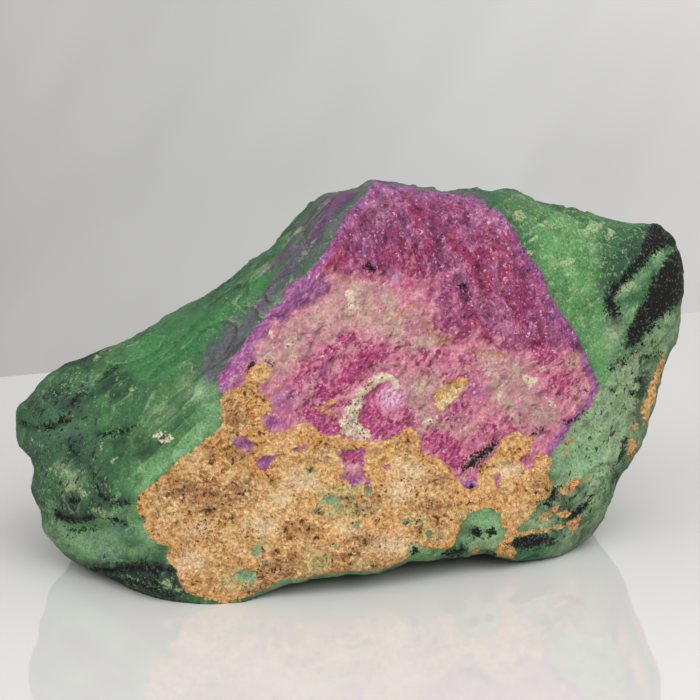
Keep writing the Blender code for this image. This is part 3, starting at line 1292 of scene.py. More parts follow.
LEDGES = ledges("""
    0.7,1.6 138,500 160,478 190,450 214,432 222,412 222,390;
    1,1.7 222,390 250,342 284,298 318,262 345,222 372,192;
    0.4,1.8 372,192 400,187 440,191 480,192 540,203 600,214 655,224;
    0.25,2.2 612,352 606,380 600,420 612,470 604,512;
    -0.55,0.9 273,320 288,315 302,306 318,300 330,290;
    -0.7,1.1 456,280 462,288 468,298;
    0.5,0.8 448,275 454,290 458,303;
    -0.5,0.9 440,345 470,340 500,346 520,352 540,346 560,349 584,348;
    0.55,0.9 530,357 545,351 558,356;
    -0.4,1 330,268 350,272 372,278 390,270 420,278 436,300 447,325;
    0.35,0.8 296,392 306,376 320,360 335,346;
    0.45,0.9 340,430 346,412 356,396 368,384 382,377 396,378;
    -0.4,0.7 364,420 366,404 374,392;
    0.3,1 400,432 420,432 440,418 462,412;
    0.45,1 436,306 430,280 428,250 420,225 405,206;
    0.4,0.9 470,330 474,300 470,270 462,240 452,215;
    0.35,0.9 500,340 498,310 490,280 480,250;
    -0.4,0.8 452,330 447,300 446,270 440,240;
    -0.4,0.8 486,335 484,300 478,268;
    0.3,0.7 158,385 178,368 201,351;
    0.25,0.7 204,336 214,319 228,304;
    -0.4,0.7 98,381 110,371 116,366;
    -0.5,0.8 58,513 60,519 80,521 96,518;
    -0.4,0.8 96,434 115,432 132,427;
    -0.45,0.9 22,426 45,428 66,420;
    0.35,1.2 616,350 622,346 640,346 660,330 680,306;
    -0.3,0.8 640,350 646,380 640,410 626,446;
    0.5,0.9 664,352 656,390 648,424 628,464
""")


@dataclass(frozen=True)
class Relief:
    """The relief of each mineral, in mm over the smooth shape.

    Slopes go with how drawn out their grain is. Waves are heights, lengths and seeds. Grains are sizes
    and seeds, after a height where they have one.
    """

    ledges: tuple[Ledge, ...] = LEDGES
    shell_slope: Pair = (46.0, 1.8)
    shell_waves: tuple[Wave, ...] = ((1.7, 8.0, 64), (0.45, 3.2, 65), (0.14, 1.5, 66))
    shell_step: float = 0.34
    chip_swirl: Wave = (9.0, 1.8, 40)
    chip_grains: tuple[float, int] = (11.0, 51)
    chip_bowl: Pair = (0.55, -0.20)
    nick_grains: tuple[float, int] = (4.6, 57)
    nick_depth: float = 0.16
    nick_share: float = 0.45
    zoisite_waves: tuple[Wave, ...] = ((0.11, 1.7, 61), (0.08, 0.9, 62))
    upright_slope: Pair = (74.0, 2.6)
    sloping_slope: Pair = (42.0, 2.6)
    upright_above: Pair = (-345.0, -285.0)
    facet_grains: tuple[Wave, ...] = ((0.40, 3.4, 71), (0.26, 1.7, 75))
    tread: Wave = (2.5, 4.2, 78)
    tread_height: float = 0.10
    ruby_wave: Wave = (0.12, 0.9, 79)
    lump_grains: tuple[Wave, ...] = ((0.34, 2.6, 81), (0.22, 1.3, 85))
    lump_reach: float = 0.6
    crust_wave: Wave = (0.25, 5.0, 89)
    crust_rise: float = 0.10
    pit_wave: tuple[float, int] = (1.5, 88)
    pit_edge: Pair = (0.25, 0.7)
    pit_depth: float = 0.30
    blade_slope: Pair = (55.0, 2.2)
    blade_grains: Wave = (0.10, 1.8, 91)
    blade_wave: Wave = (0.12, 1.1, 95)
    edge: float = 0.3
    hornblende_edge: float = 0.4
    chip_edge: float = 0.25
    chip_depth: float = 0.30
    foot_fade: Pair = (0.2, 3.0)
    foot_share: float = 0.02
    cavity_rounds: int = 5

    def shells(self, points: Points) -> np.ndarray:
        """How many shells deep the break has gone: waves of three lengths, drawn out up a slope."""
        return waves(turned(points, *self.shell_slope), *self.shell_waves)

    def of_zoisite(self, points: Points, shell: np.ndarray) -> np.ndarray:
        """Shallow chips: each large grain sinks as a bowl, and each shell rises to its sharp edge.

        Args:
            points: (n, 3) places in mm.
            shell: (n,) how many shells deep the break has gone.

        Returns:
            (n,) heights in mm.
        """
        warped = points + swirl(points, *self.chip_swirl)
        chips = Grains.around(warped, *self.chip_grains)
        small = Grains.around(warped, *self.nick_grains)
        hollow, rise = self.chip_bowl
        bowl = hollow * np.minimum(chips.nearest, 1.0) ** 2 + rise
        nicks = self.nick_depth * np.minimum(small.nearest, 1.0) ** 2 * (small.draw[:, 0] > self.nick_share)
        steps = self.shell_step * (shell - np.floor(shell) - 0.5)
        return bowl + nicks + waves(points, *self.zoisite_waves) + steps

    def of_ruby(self, points: Points, skin: Skin) -> np.ndarray:
        """Broken crystals: flat facets longer along the crystal's grain, in two sizes, and steps.

        Args:
            points: (n, 3) places in mm.
            skin: the surface, for where the grain turns.

        Returns:
            (n,) heights in mm.
        """
        upright = turned(points, *self.upright_slope)
        sloping = turned(points, *self.sloping_slope)
        upper = smooth_step(-skin.places[:, 1], *self.upright_above)[:, None]
        along = np.where(upper > 0.5, upright, sloping)
        facets = sum(
            height * Grains.around(along, size, seed).facets() for height, size, seed in self.facet_grains
        )
        steps = self.tread_height * np.round(waves(along, self.tread))
        return facets + steps + waves(points, self.ruby_wave)

    def of_crust(self, points: Points) -> np.ndarray:
        """Cemented grains of two sizes that stand out as rounded lumps, with pits between.

        Args:
            points: (n, 3) places in mm.

        Returns:
            (n,) heights in mm.
        """
        lumps = sum(
            height * (self.lump_reach - Grains.around(points, size, seed).nearest)
            for height, size, seed in self.lump_grains
        )
        pits = self.pit_depth * smooth_step(swells(points, *self.pit_wave), *self.pit_edge)
        return lumps + waves(points, self.crust_wave) - pits + self.crust_rise

    def of_hornblende(self, points: Points) -> np.ndarray:
        """Short blades with flat ends.

        Args:
            points: (n, 3) places in mm.

        Returns:
            (n,) heights in mm.
        """
        height, size, seed = self.blade_grains
        blades = Grains.around(turned(points, *self.blade_slope), size, seed)
        return height * blades.facets() + waves(points, self.blade_wave)

    def apply(self, skin: Skin, measures: dict[str, np.ndarray]) -> dict[str, np.ndarray]:
        """Raise the skin along its normals by each mineral's relief where that mineral shows.

        Args:
            skin: the surface to move.
            measures: signed distance of each marking, by name.

        Returns:
            More measures: cavity, how far a point lies below its surroundings in mm, which the material
                darkens as painted shade, and shell.
        """
        points = skin.points
        ruby = inside(measures["ruby"], self.edge)
        crust = inside(measures["crust"], self.edge)
        black = inside(measures["hornblende"], self.hornblende_edge)
        shell = self.shells(points)
        rise = self.of_zoisite(points, shell) * (1.0 - ruby) + self.of_ruby(points, skin) * ruby
        rise = rise * (1.0 - black) + self.of_hornblende(points) * black
        rise = rise * (1.0 - crust) + self.of_crust(points) * crust
        rise += sum(ledge.rise(skin) for ledge in self.ledges)
        rise -= self.chip_depth * inside(measures["chips"], self.chip_edge) * (1.0 - ruby) * (1.0 - crust)
        above = smooth_step(points[:, 2], *self.foot_fade)
        rise = rise * above
        skin.points = points + skin.normals * rise[:, None]
        skin.points[:, 2] = np.maximum(skin.points[:, 2], 0.0)
        skin.points[:, 2] = np.where(above < self.foot_share, 0.0, skin.points[:, 2])
        around = rise[:, None]
        for _ in range(self.cavity_rounds):
            around = skin.neighbour_mean(around)
        skin.refresh()
        return {"cavity": around[:, 0] - rise, "shell": shell}


# ---------------------------------------------------------------- materials
#
# The numbers in the finishes stand in one order. A mask has its reach and half width in mm, then its
# strength. EASE has its two ends, and RANGE has them too, then its value at the second and at the
# first. NOISE has its scale in 1/mm, its detail and its roughness, and FADE, BLEND and SHADE start
# with their share.


def linear(colour: str) -> tuple[float, float, float, float]:
    """Turn an sRGB hex colour to linear light, by s / 12.92 or ((s + 0.055) / 1.055)^2.4.

    Args:
        colour: such as "#4f8a52".

    Returns:
        Red, green, blue and 1.
    """
    shares = [int(colour[k : k + 2], 16) / 255.0 for k in (1, 3, 5)]
    return tuple(s / 12.92 if s <= 0.04045 else ((s + 0.055) / 1.055) ** 2.4 for s in shares) + (1.0,)


class Node(Enum):
    """The nodes in use: type, settings, inputs in the order that they are given, and output."""

    PLACE = ("TexCoord", {}, (), "Object")
    WAY = ("TexCoord", {}, (), "Generated")
    RAY = ("LightPath", {}, (), "Is Diffuse Ray")
    MARK = ("Attribute", {}, (), "Fac")
    AXES = ("SeparateXYZ", {}, (0,), "X")
    SCALE = ("VectorMath", {"operation": "SCALE"}, (0, "Scale"), 0)
    APART = ("VectorMath", {"operation": "SUBTRACT"}, (0, 1), 0)
    MOVED = ("VectorMath", {"operation": "MULTIPLY_ADD"}, (0, 1, 2), 0)
    DOT = ("VectorMath", {"operation": "DOT_PRODUCT"}, (0, 1), "Value")
    GRAINED = ("Mapping", {"vector_type": "TEXTURE"}, ("Vector", "Rotation", "Scale"), 0)
    NOISE = ("TexNoise", {}, ("Vector", "Scale", "Detail", "Roughness"), 0)
    CELL_TONE = ("TexVoronoi", {}, ("Vector", "Scale"), "Color")
    CELL_PLACE = ("TexVoronoi", {}, ("Vector", "Scale"), "Position")
    CELL_REACH = ("TexVoronoi", {}, ("Vector", "Scale"), "Distance")
    ADD = ("Math", {"operation": "ADD"}, (0, 1), 0)
    TIMES = ("Math", {"operation": "MULTIPLY"}, (0, 1), 0)
    MORE = ("Math", {"operation": "MAXIMUM"}, (0, 1), 0)
    TIMES_ADD = ("Math", {"operation": "MULTIPLY_ADD"}, (0, 1, 2), 0)
    FRACTION = ("Math", {"operation": "FRACT"}, (0,), 0)
    SIZE = ("Math", {"operation": "ABSOLUTE"}, (0,), 0)
    RANGE = ("MapRange", {}, ("Value", "From Min", "From Max", "To Max", "To Min"), 0)
    EASE = ("MapRange", {"interpolation_type": "SMOOTHSTEP"}, ("Value", "From Min", "From Max"), 0)
    RAMP = ("ValToRGB", {}, (0,), 0)
    FADE = ("Mix", {}, (0, 2, 3), 0)
    BLEND = ("Mix", {"data_type": "RGBA"}, (0, 6, 7), 2)
    SHADE = ("Mix", {"data_type": "RGBA", "blend_type": "MULTIPLY"}, (0, 6, 7), 2)
    BUMP = ("Bump", {}, ("Height", "Distance", "Strength"), 0)


@dataclass
class NodeSheet:
    """The nodes of one material or world."""

    tree: bpy.types.NodeTree

    def add(self, node: Node, *given: Any, stops: str = "", **settings: Any) -> Socket:
        """Add a node with its settings, fill its inputs with values or links, and give its output.

        Args:
            node: which node.
            given: a value, a hex colour or a socket for each of its inputs, in their order.
            stops: a colour ramp's stops, as "place colour, place colour".
            settings: more of the node's own settings.

        Returns:
            The output socket.
        """
        kind, fixed, inputs, output = node.value
        made = self.tree.nodes.new("ShaderNode" + kind)
        for name, value in {**fixed, **settings}.items():
            setattr(made, name, value)
        for key, value in zip(inputs, given):
            if isinstance(value, bpy.types.NodeSocket):
                self.tree.links.new(value, made.inputs[key])
            else:
                made.inputs[key].default_value = linear(value) if isinstance(value, str) else value
        for index, stop in enumerate(stops.split(", ") if stops else ()):
            place, colour = stop.split()
            ramp = made.color_ramp.elements
            element = ramp[index] if index < 2 else ramp.new(float(place))
            element.position = float(place)
            element.color = linear(colour)
        return made.outputs[output]


@dataclass(frozen=True)
class Coat:
    """What one mineral shows at each point: its colour, roughness and height in mm."""

    colour: Socket
    roughness: Socket | float
    height: Socket


@dataclass
class MineralSheet(NodeSheet):
    """The rock's nodes, with the patterns that its minerals share, worked out once.

    Sizes are in mm. The real grain is finer than a tenth of a millimetre, too fine to show, so
    the finest patterns are drawn at about 0.4 mm.
    """

    broad_size: float = 8.0
    patch_size: float = 4.0
    ragged_size: float = 1.4
    grit_size: float = 0.45
    streak_size: float = 1.9
    fray: Triple = (1.8, 1.8, 1.8)
    grain_size: float = 0.36
    lump_size: float = 0.8
    block_size: float = 2.4
    streak_grain: Pair = (44.0, 1.9)
    fibre_grain: Pair = (106.0, 3.6)
    lump_grain: Pair = (104.0, 2.2)
    block_grain: Pair = (104.0, 1.7)

    def __post_init__(self) -> None:
        """Add the shared patterns: soft and ragged noises, a slanting streak, and three sizes of grains."""
        add = self.add
        self.places = add(Node.SCALE, add(Node.PLACE), 1.0 / MM)
        self.sloping = self.grained(*self.streak_grain)
        self.upright = self.grained(*self.fibre_grain)
        self.broad = add(Node.NOISE, self.places, 1 / self.broad_size, 3.0, 0.55)
        self.patch = add(Node.NOISE, self.places, 1 / self.patch_size, 5.0, 0.66)
        self.ragged = add(Node.NOISE, self.places, 1 / self.ragged_size, 4.0, 0.72)
        self.grit = add(Node.NOISE, self.places, 1 / self.grit_size, 3.0, 0.78)
        self.streak = add(Node.NOISE, self.sloping, 1 / self.streak_size, 5.0, 0.70)
        self.frayed = add(Node.MOVED, self.ragged.node.outputs["Color"], self.fray, self.places)
        self.draws = self.draws_of(self.frayed, self.grain_size)
        self.lumps = self.draws_of(self.grained(*self.lump_grain, self.frayed), self.lump_size)
        self.blocks = self.draws_of(self.grained(*self.block_grain, self.frayed), self.block_size)[0]

    def draws_of(self, places: Socket, size: float) -> list[Socket]:
        """Three random numbers in each grain of a size in mm."""
        grains = self.add(Node.AXES, self.add(Node.CELL_TONE, places, 1.0 / size))
        return [grains.node.outputs[axis] for axis in "XYZ"]

    def grained(self, slope: float, stretch: float, places: Socket | None = None) -> Socket:
        """Places for a pattern that is drawn out along a slope in the XZ plane.

        Args:
            slope: the grain's slope in degrees, up from +X.
            stretch: how many times longer than wide the grain is.
            places: the places to draw out, or all of them plain.

        Returns:
            The pattern's places.
        """
        turn = (0.0, -math.radians(slope), 0.0)
        return self.add(Node.GRAINED, places or self.places, turn, (stretch, 1.0, 1.0))

    def specks(self, draw: int, share: float, strength: float) -> Socket:
        """Pick some of the small grains at random.

        Args:
            draw: which of the grains' three random numbers decides.
            share: what share of the grains stays out.
            strength: how strongly the others show.

        Returns:
            The strength in a picked grain and 0 outside.
        """
        picked = self.add(Node.EASE, self.draws[draw], share, share + SPECK_EDGE)
        return self.add(Node.TIMES, picked, strength)

    def mask(self, name: str, ragged: Socket, reach: float, soft: float, strength: float = 1.0) -> Socket:
        """How much of a marking shows inside it, with its edge broken up by a noise.

        Args:
            name: the marking.
            ragged: the noise, from 0 to 1.
            reach: how far the noise moves the edge, in mm.
            soft: half the width of the edge, in mm.
            strength: how strongly the marking shows.

        Returns:
            The strength inside and 0 outside.
        """
        shown = self.add(Node.EASE, self.frayed_edge(name, ragged, NOISE_SPREAD * reach), soft, -soft)
        return shown if strength == 1.0 else self.add(Node.TIMES, shown, strength)

    def frayed_edge(self, name: str, ragged: Socket, reach: float) -> Socket:
        """How far a place lies outside a marking, in mm, after a noise has moved the edge by a reach."""
        push = self.add(Node.ADD, ragged, -0.5)
        return self.add(Node.TIMES_ADD, push, reach, self.add(Node.MARK, attribute_name=name))

    def layered(self, colour: Socket, *layers: tuple[Socket, Socket | str]) -> Socket:
        """Lay stains over a colour, one after the other.

        Args:
            colour: the colour below.
            layers: how strongly each stain shows, and the stain.

        Returns:
            The colour with its stains.
        """
        for amount, stain in layers:
            colour = self.add(Node.BLEND, amount, colour, stain)
        return colour

    def facets(self, places: Socket, size: float) -> Socket:
        """Heights of flat facets tilted at random, one in each grain, in mm for a tilt of 45 degrees.

        The height is the dot product of the way from the grain's middle and the grain's own tilt.

        Args:
            places: places in mm.
            size: the grains' size in mm.

        Returns:
            The height.
        """
        middle = self.add(Node.CELL_PLACE, places, 1.0 / size)
        away = self.add(Node.APART, places, middle)
        tilt = self.add(Node.APART, middle.node.outputs["Color"], (0.5, 0.5, 0.5))
        return self.add(Node.DOT, away, tilt)


@dataclass(frozen=True)
class ZoisiteFinish:
    """Green zoisite, broken: waxy, softly mottled, in thin shells, with painted shading across each shell
    and painted pale highlights on their edges.
    """

    greens: str = "0.32 #366141, 0.44 #416f48, 0.56 #497b4e, 0.70 #588b54"
    cool: str = "#365741"
    pale: str = "#a9c294"
    mint: str = "#8fba8a"
    # frost is also the colour of the painted highlights along chip rims and shell edges
    frost: str = "#a3bd90"
    flake: str = "#a9b98a"
    chip: str = "#628957"
    fresh: str = "#48874e"
    # lighter greens, partly painted light
    bright: str = "0.36 #589154, 0.50 #68a261, 0.64 #8cba7b"
    # dark green of the dark mottle and of the painted shade
    dark_mottle_and_shade: str = "#25382e"
    lilac: str = "#6e6073"
    slate: str = "#6e7f88"
    plum: str = "#7b3f78"
    sage: str = "#526a54"
    needle: str = "#18211b"
    shell_shading: str = "0.0 #c2c2c2, 0.30 #e8e8e8, 1.0 #ffffff"
    grit_tone: str = "0.30 #969696, 0.68 #ffffff"
    roughness: Pair = (0.40, 0.62)

    def paint(self, sheet: MineralSheet) -> Coat:
        """Add the zoisite's nodes.

        Args:
            sheet: the material's nodes.

        Returns:
            The zoisite's coat.
        """
        add, mask = sheet.add, sheet.mask
        patch, grit, streak = sheet.patch, sheet.grit, sheet.streak
        cool = add(Node.RANGE, sheet.broad, 0.48, 0.70, 0.6)
        pale = add(Node.TIMES, mask("pale", patch, 3.0, 2.0), add(Node.RANGE, streak, 0.3, 0.6, 0.85, 0.2))
        dark_grains = add(Node.RANGE, grit, 0.40, 0.60, 1.0, 0.25)
        lilac = add(Node.RANGE, sheet.draws[0], 0.1, 0.7, 1.0, 0.35)
        lilac = add(Node.TIMES, mask("lilac", streak, 3.2, 1.4), lilac)
        colour = sheet.layered(
            add(Node.RAMP, patch, stops=self.greens),
            (cool, self.cool),
            (mask("speckled", streak, 3.4, 2.0, 0.4), self.sage),
            (pale, self.pale),
            (mask("chips", grit, 0.3, 0.2, 0.45), self.chip),
            # lighter green, partly painted light
            (mask("bright", patch, 2.4, 1.6, 0.8), add(Node.RAMP, patch, stops=self.bright)),
            (mask("fresh", patch, 1.2, 0.6, 0.75), self.fresh),
            (mask("mint", streak, 2.6, 1.4, 0.7), self.mint),
            (lilac, self.lilac),
            (mask("plum", streak, 1.6, 0.4, 0.85), self.plum),
            (mask("slate", streak, 1.6, 0.8, 0.6), self.slate),
            # dark mottle, partly painted shade
            (add(Node.TIMES, mask("dark_mottle_and_shade", streak, 2.8, 1.6), dark_grains), self.dark_mottle_and_shade),
        )
        shell = add(Node.MARK, attribute_name="shell")
        shell = add(Node.FRACTION, add(Node.TIMES_ADD, grit, 0.12, shell))
        # Painted shade: each shell is darker at its low side and lighter towards its edge, as light falls
        # across the steps.
        colour = add(Node.SHADE, 0.4, colour, add(Node.RAMP, shell, stops=self.shell_shading))
        # Painted highlights: pale lines along the chips' rims and the shells' edges, blended in the frost
        # colour.
        rim = add(Node.EASE, add(Node.SIZE, sheet.frayed_edge("chips", grit, 0.8)), 0.26, 0.06)
        edge = add(Node.MORE, rim, add(Node.EASE, shell, 0.88, 0.97))
        edge = add(Node.TIMES, edge, add(Node.RANGE, patch, 0.46, 0.62, 0.42))
        flakes = add(Node.RANGE, grit, 0.36, 0.5, 0.75)
        flakes = add(Node.TIMES, mask("frost", sheet.ragged, 0.7, 0.12), flakes)
        flaky = add(Node.TIMES_ADD, mask("flaky", patch, 3.0, 1.5), 0.13, sheet.draws[0])
        sugar = add(Node.EASE, add(Node.TIMES_ADD, patch, 0.4, flaky), 1.14, 1.22)
        needles = add(Node.EASE, add(Node.NOISE, sheet.grained(62.0, 1.9), 1 / 1.1, 3.0, 0.7), 0.58, 0.63)
        needles = add(Node.TIMES, needles, mask("speckled", patch, 3.0, 1.0, 0.85))
        colour = sheet.layered(
            colour,
            (edge, self.frost),
            (flakes, self.flake),
            (add(Node.TIMES, sugar, 0.45), self.frost),
            (needles, self.needle),
        )
        colour = add(Node.SHADE, 0.85, colour, add(Node.RAMP, grit, stops=self.grit_tone))
        rough = add(Node.FADE, add(Node.RANGE, grit, 0.3, 0.7), *self.roughness)
        height = add(Node.TIMES_ADD, grit, 0.24, -0.42)
        height = add(Node.TIMES_ADD, shell, 0.34, height)
        height = add(Node.TIMES_ADD, streak, 0.26, height)
        return Coat(colour, rough, height)


@dataclass(frozen=True)
class RubyFinish:
    """Opaque ruby, broken: pink to purple fibres and facets with painted glints, painted shade in its
    cracks and pits, and paler seams.
    """

    body: str = "0.34 #b9628a, 0.44 #c9758f, 0.54 #d48d9c, 0.66 #dfa9a9"
    upper: str = "0.34 #9e537d, 0.44 #bb5982, 0.54 #d6628d, 0.62 #e47695, 0.72 #edbdc3"
    stained: str = "0.34 #ba7f8a, 0.46 #c19894, 0.60 #c8b29b, 0.74 #d3ccaa"
    flecks: str = "0.36 #7c2150, 0.60 #ab4476"
    hot: str = "0.36 #7e1e52, 0.46 #a33069, 0.55 #bf5384, 0.64 #d585a4"
    rim: str = "0.34 #6e3776, 0.50 #905291, 0.68 #b386b5"
    blocks: str = "0.0 #6e204e, 0.35 #9f3663, 0.55 #b4557f, 0.80 #a66fa6, 1.0 #d897bb"
    mauve: str = "#9e699a"
    # deep wine of the painted shade in cracks and pits
    crack_and_pit_shade: str = "#4a1733"
    # pale pinks of the paler crystals and of the painted highlights
    pale_pink_and_highlight: str = "0.38 #c56a9c, 0.47 #e2a0c4, 0.58 #f6dbe8"
    # pale pink of the painted highlights, the glints
    white: str = "#e0b4ca"
    crimson: str = "#b02858"
    rosy: str = "#ee9db6"
    ochre: str = "#b07c3a"
    crystal_tone: str = "0.0 #a08a98, 0.35 #cfc2ca, 0.80 #f4f0f2, 1.0 #ffffff"
    fibre_tone: str = "0.36 #7a4c64, 0.48 #cfb4c1, 0.60 #ffffff"
    grit_tone: str = "0.30 #a2a2a2, 0.62 #ffffff"
    roughness: Pair = (0.30, 0.60)

    def paint(self, sheet: MineralSheet) -> Coat:
        """Add the ruby's nodes.

        Args:
            sheet: the material's nodes.

        Returns:
            The ruby's coat.
        """
        add, mask = sheet.add, sheet.mask
        patch, grit, streak = sheet.patch, sheet.grit, sheet.streak
        deep = mask("deep", streak, 5.0, 2.0)
        fibres = add(Node.FADE, deep, add(Node.NOISE, sheet.grained(48.0, 2.4), 1 / 0.5, 4.0, 0.70),
                     add(Node.NOISE, sheet.upright, 1 / 0.4, 4.0, 0.74))
        flecks = add(Node.EASE, add(Node.NOISE, sheet.grained(52.0, 1.5), 1 / 1.0, 3.0, 0.62), 0.535, 0.56)
        flecks = add(Node.TIMES, flecks, mask("flecks", streak, 3.0, 1.6, 0.85))
        colour = sheet.layered(
            add(Node.RAMP, streak, stops=self.body),
            (mask("beige", streak, 3.4, 1.2, 0.9), add(Node.RAMP, patch, stops=self.stained)),
            (deep, add(Node.RAMP, patch, stops=self.upper)),
            (mask("mauve", patch, 2.6, 1.6, 0.65), self.mauve),
            (flecks, add(Node.RAMP, grit, stops=self.flecks)),
            (mask("hot", fibres, 1.9, 0.45, 0.85), add(Node.RAMP, fibres, stops=self.hot)),
            # paler crystals, partly painted highlights
            (mask("pale_pink_and_highlight", fibres, 2.4, 0.7, 0.75), add(Node.RAMP, fibres, stops=self.pale_pink_and_highlight)),
            (add(Node.TIMES, deep, 0.5), add(Node.RAMP, sheet.blocks, stops=self.blocks)),
        )
        bright, purple, rosy = sheet.lumps
        colour = add(Node.SHADE, add(Node.TIMES_ADD, deep, 0.2, 0.15), colour,
                     add(Node.RAMP, bright, stops=self.crystal_tone))
        purple = add(Node.TIMES, add(Node.EASE, purple, 0.72, 0.80), add(Node.TIMES, deep, 0.3))
        rim = sheet.frayed_edge("ruby", grit, 1.8)
        violet = add(Node.TIMES, mask("violet", streak, 1.8, 0.7), add(Node.EASE, fibres, 0.24, 0.46))
        violet = add(Node.MORE, violet, add(Node.EASE, rim, -1.7, -0.5))
        colour = sheet.layered(
            colour,
            (purple, self.mauve),
            (add(Node.TIMES, add(Node.EASE, rosy, 0.88, 0.93), 0.35), self.rosy),
            (add(Node.TIMES, violet, 0.85), add(Node.RAMP, fibres, stops=self.rim)),
            (mask("rust", grit, 0.9, 0.6, 0.6), self.ochre),
        )
        colour = add(Node.SHADE, add(Node.TIMES_ADD, deep, 0.30, 0.30), colour,
                     add(Node.RAMP, fibres, stops=self.fibre_tone))
        colour = add(Node.SHADE, add(Node.TIMES_ADD, deep, 0.4, 0.5), colour,
                     add(Node.RAMP, grit, stops=self.grit_tone))
        # Painted shade: the gaps between fibres and some small grains are darkened to deep wine, as shade
        # in cracks and pits.
        cracks = add(Node.TIMES, add(Node.EASE, fibres, 0.36, 0.31), add(Node.TIMES_ADD, deep, 0.4, 0.15))
        # Painted highlights: some small grains, gathered in clusters and more in the deep zone, are blended
        # to a pale pink as glints.
        glint = add(Node.RANGE, sheet.ragged, 0.44, 0.60, 0.8, add(Node.TIMES, deep, 0.2))
        colour = sheet.layered(
            colour,
            (cracks, self.crack_and_pit_shade),
            (add(Node.TIMES, sheet.specks(0, 0.85, 0.6), add(Node.TIMES_ADD, deep, 0.8, 0.2)), self.crack_and_pit_shade),
            (add(Node.TIMES, sheet.specks(1, 0.86, 0.6), bright), self.crimson),
            (add(Node.TIMES, sheet.specks(2, 0.90, 0.8), glint), self.white),
        )
        rough = add(Node.FADE, add(Node.RANGE, grit, 0.35, 0.65), *self.roughness)
        height = add(Node.TIMES_ADD, grit, 0.26, -0.30)
        height = add(Node.TIMES_ADD, fibres, 0.34, height)
        height = add(Node.TIMES_ADD, sheet.facets(sheet.sloping, 0.9), 0.7, height)
        return Coat(colour, rough, height)


@dataclass(frozen=True)
class CrustFinish:
    """Weathered crust of cemented, iron-stained grains: dull, tan, with dark specks and pits."""

    sands: str = "0.30 #9d6c3e, 0.41 #c5945c, 0.52 #ddb379, 0.66 #e9cc9d"
    light: str = "#eedaae"
    cream: str = "#f0e4ca"
    moss: str = "#b2b37e"
    brown: str = "#986e49"
    dust: str = "#633f29"
    speck: str = "#35231a"
    rust: str = "#b0400f"
    orange: str = "#dd9f5a"
    grain_tone: str = "0.0 #b08f74, 0.40 #eadbcb, 0.85 #ffffff"
    grit_tone: str = "0.30 #a4a4a4, 0.62 #ffffff"
    roughness: Pair = (0.80, 0.95)

    def paint(self, sheet: MineralSheet) -> Coat:
        """Add the crust's nodes.

        Args:
            sheet: the material's nodes.

        Returns:
            The crust's coat.
        """
        add, mask = sheet.add, sheet.mask
        patch, grit = sheet.patch, sheet.grit
        grain = add(Node.NOISE, sheet.places, 1 / 1.1, 4.0, 0.78)
        rim = add(Node.EASE, sheet.frayed_edge("crust", patch, 9.0), -4.0, -0.8)
        brown = mask("brown", grain, 2.6, 1.2)
        colour = sheet.layered(
            add(Node.RAMP, grain, stops=self.sands),
            (add(Node.RANGE, patch, 0.54, 0.66, 0.45), self.light),
            (add(Node.RANGE, patch, 0.48, 0.36, 0.55), self.orange),
            (add(Node.TIMES, rim, 0.3), self.orange),
            (add(Node.TIMES, brown, 0.55), self.brown),
            (mask("mossy", grain, 2.6, 1.2, 0.6), self.moss),
            (mask("cream", grain, 2.6, 1.2, 0.4), self.cream),
        )
        colour = add(Node.SHADE, 0.6, colour, add(Node.RAMP, sheet.draws[2], stops=self.grain_tone))
        colour = add(Node.SHADE, 0.75, colour, add(Node.RAMP, grit, stops=self.grit_tone))
        blots = add(Node.EASE, add(Node.NOISE, sheet.places, 1 / 0.9, 3.0, 0.6), 0.59, 0.61)
        sunny = add(Node.RANGE, patch, 0.42, 0.58, 1.0, 0.2)
        crowded = add(Node.MORE, add(Node.RANGE, patch, 0.54, 0.42, 1.0, 0.15), brown)
        colour = sheet.layered(
            colour,
            (add(Node.TIMES, sheet.specks(1, 0.86, 0.4), sunny), self.light),
            (add(Node.TIMES, sheet.specks(0, 0.84, 0.8), crowded), self.dust),
            (add(Node.TIMES, blots, add(Node.TIMES, crowded, 0.9)), self.speck),
            (mask("rust", grit, 0.6, 0.3, 0.8), self.rust),
        )
        rough = add(Node.FADE, grain, *self.roughness)
        lumps = add(Node.CELL_REACH, sheet.places, 1 / 1.0)
        height = add(Node.TIMES_ADD, lumps, -0.5, add(Node.TIMES, grit, 0.22))
        height = add(Node.TIMES_ADD, grain, 0.5, height)
        return Coat(colour, rough, height)


@dataclass(frozen=True)
class HornblendeFinish:
    """Black hornblende: a felt of near-black needles, dull, with painted grey glints on a few of them."""

    blacks: str = "0.40 #030403, 0.60 #080a09, 0.78 #1a1e1b"
    # grey of the painted highlights, the glints
    glint: str = "#8b968d"
    rusty: str = "#2c1813"
    roughness: Pair = (0.45, 0.6)

    def paint(self, sheet: MineralSheet) -> Coat:
        """Add the hornblende's nodes.

        Args:
            sheet: the material's nodes.

        Returns:
            The hornblende's coat.
        """
        add, grit = sheet.add, sheet.grit
        colour = sheet.layered(
            add(Node.RAMP, grit, stops=self.blacks),
            (sheet.specks(1, 0.86, 0.6), self.rusty),
            # Painted highlights: a few small grains are blended to grey as glints.
            (sheet.specks(0, 0.88, 0.2), self.glint),
        )
        rough = add(Node.FADE, grit, *self.roughness)
        return Coat(colour, rough, add(Node.TIMES_ADD, grit, 0.34, -0.17))


@dataclass(frozen=True)
class FeldsparFinish:
    """White to cream feldspar in flecks and a curved band, with black specks in it."""

    creams: str = "0.34 #a39078, 0.50 #cbbd9f, 0.66 #e2d8c2"
    speck: str = "#25231f"
    roughness: float = 0.6

    def paint(self, sheet: MineralSheet) -> tuple[Socket, float]:
        """Add the feldspar's nodes.

        Args:
            sheet: the material's nodes.

        Returns:
            Its colour and roughness.
        """
        colour = sheet.add(Node.RAMP, sheet.grit, stops=self.creams)
        return sheet.layered(colour, (sheet.specks(1, 0.88, 0.85), self.speck)), self.roughness


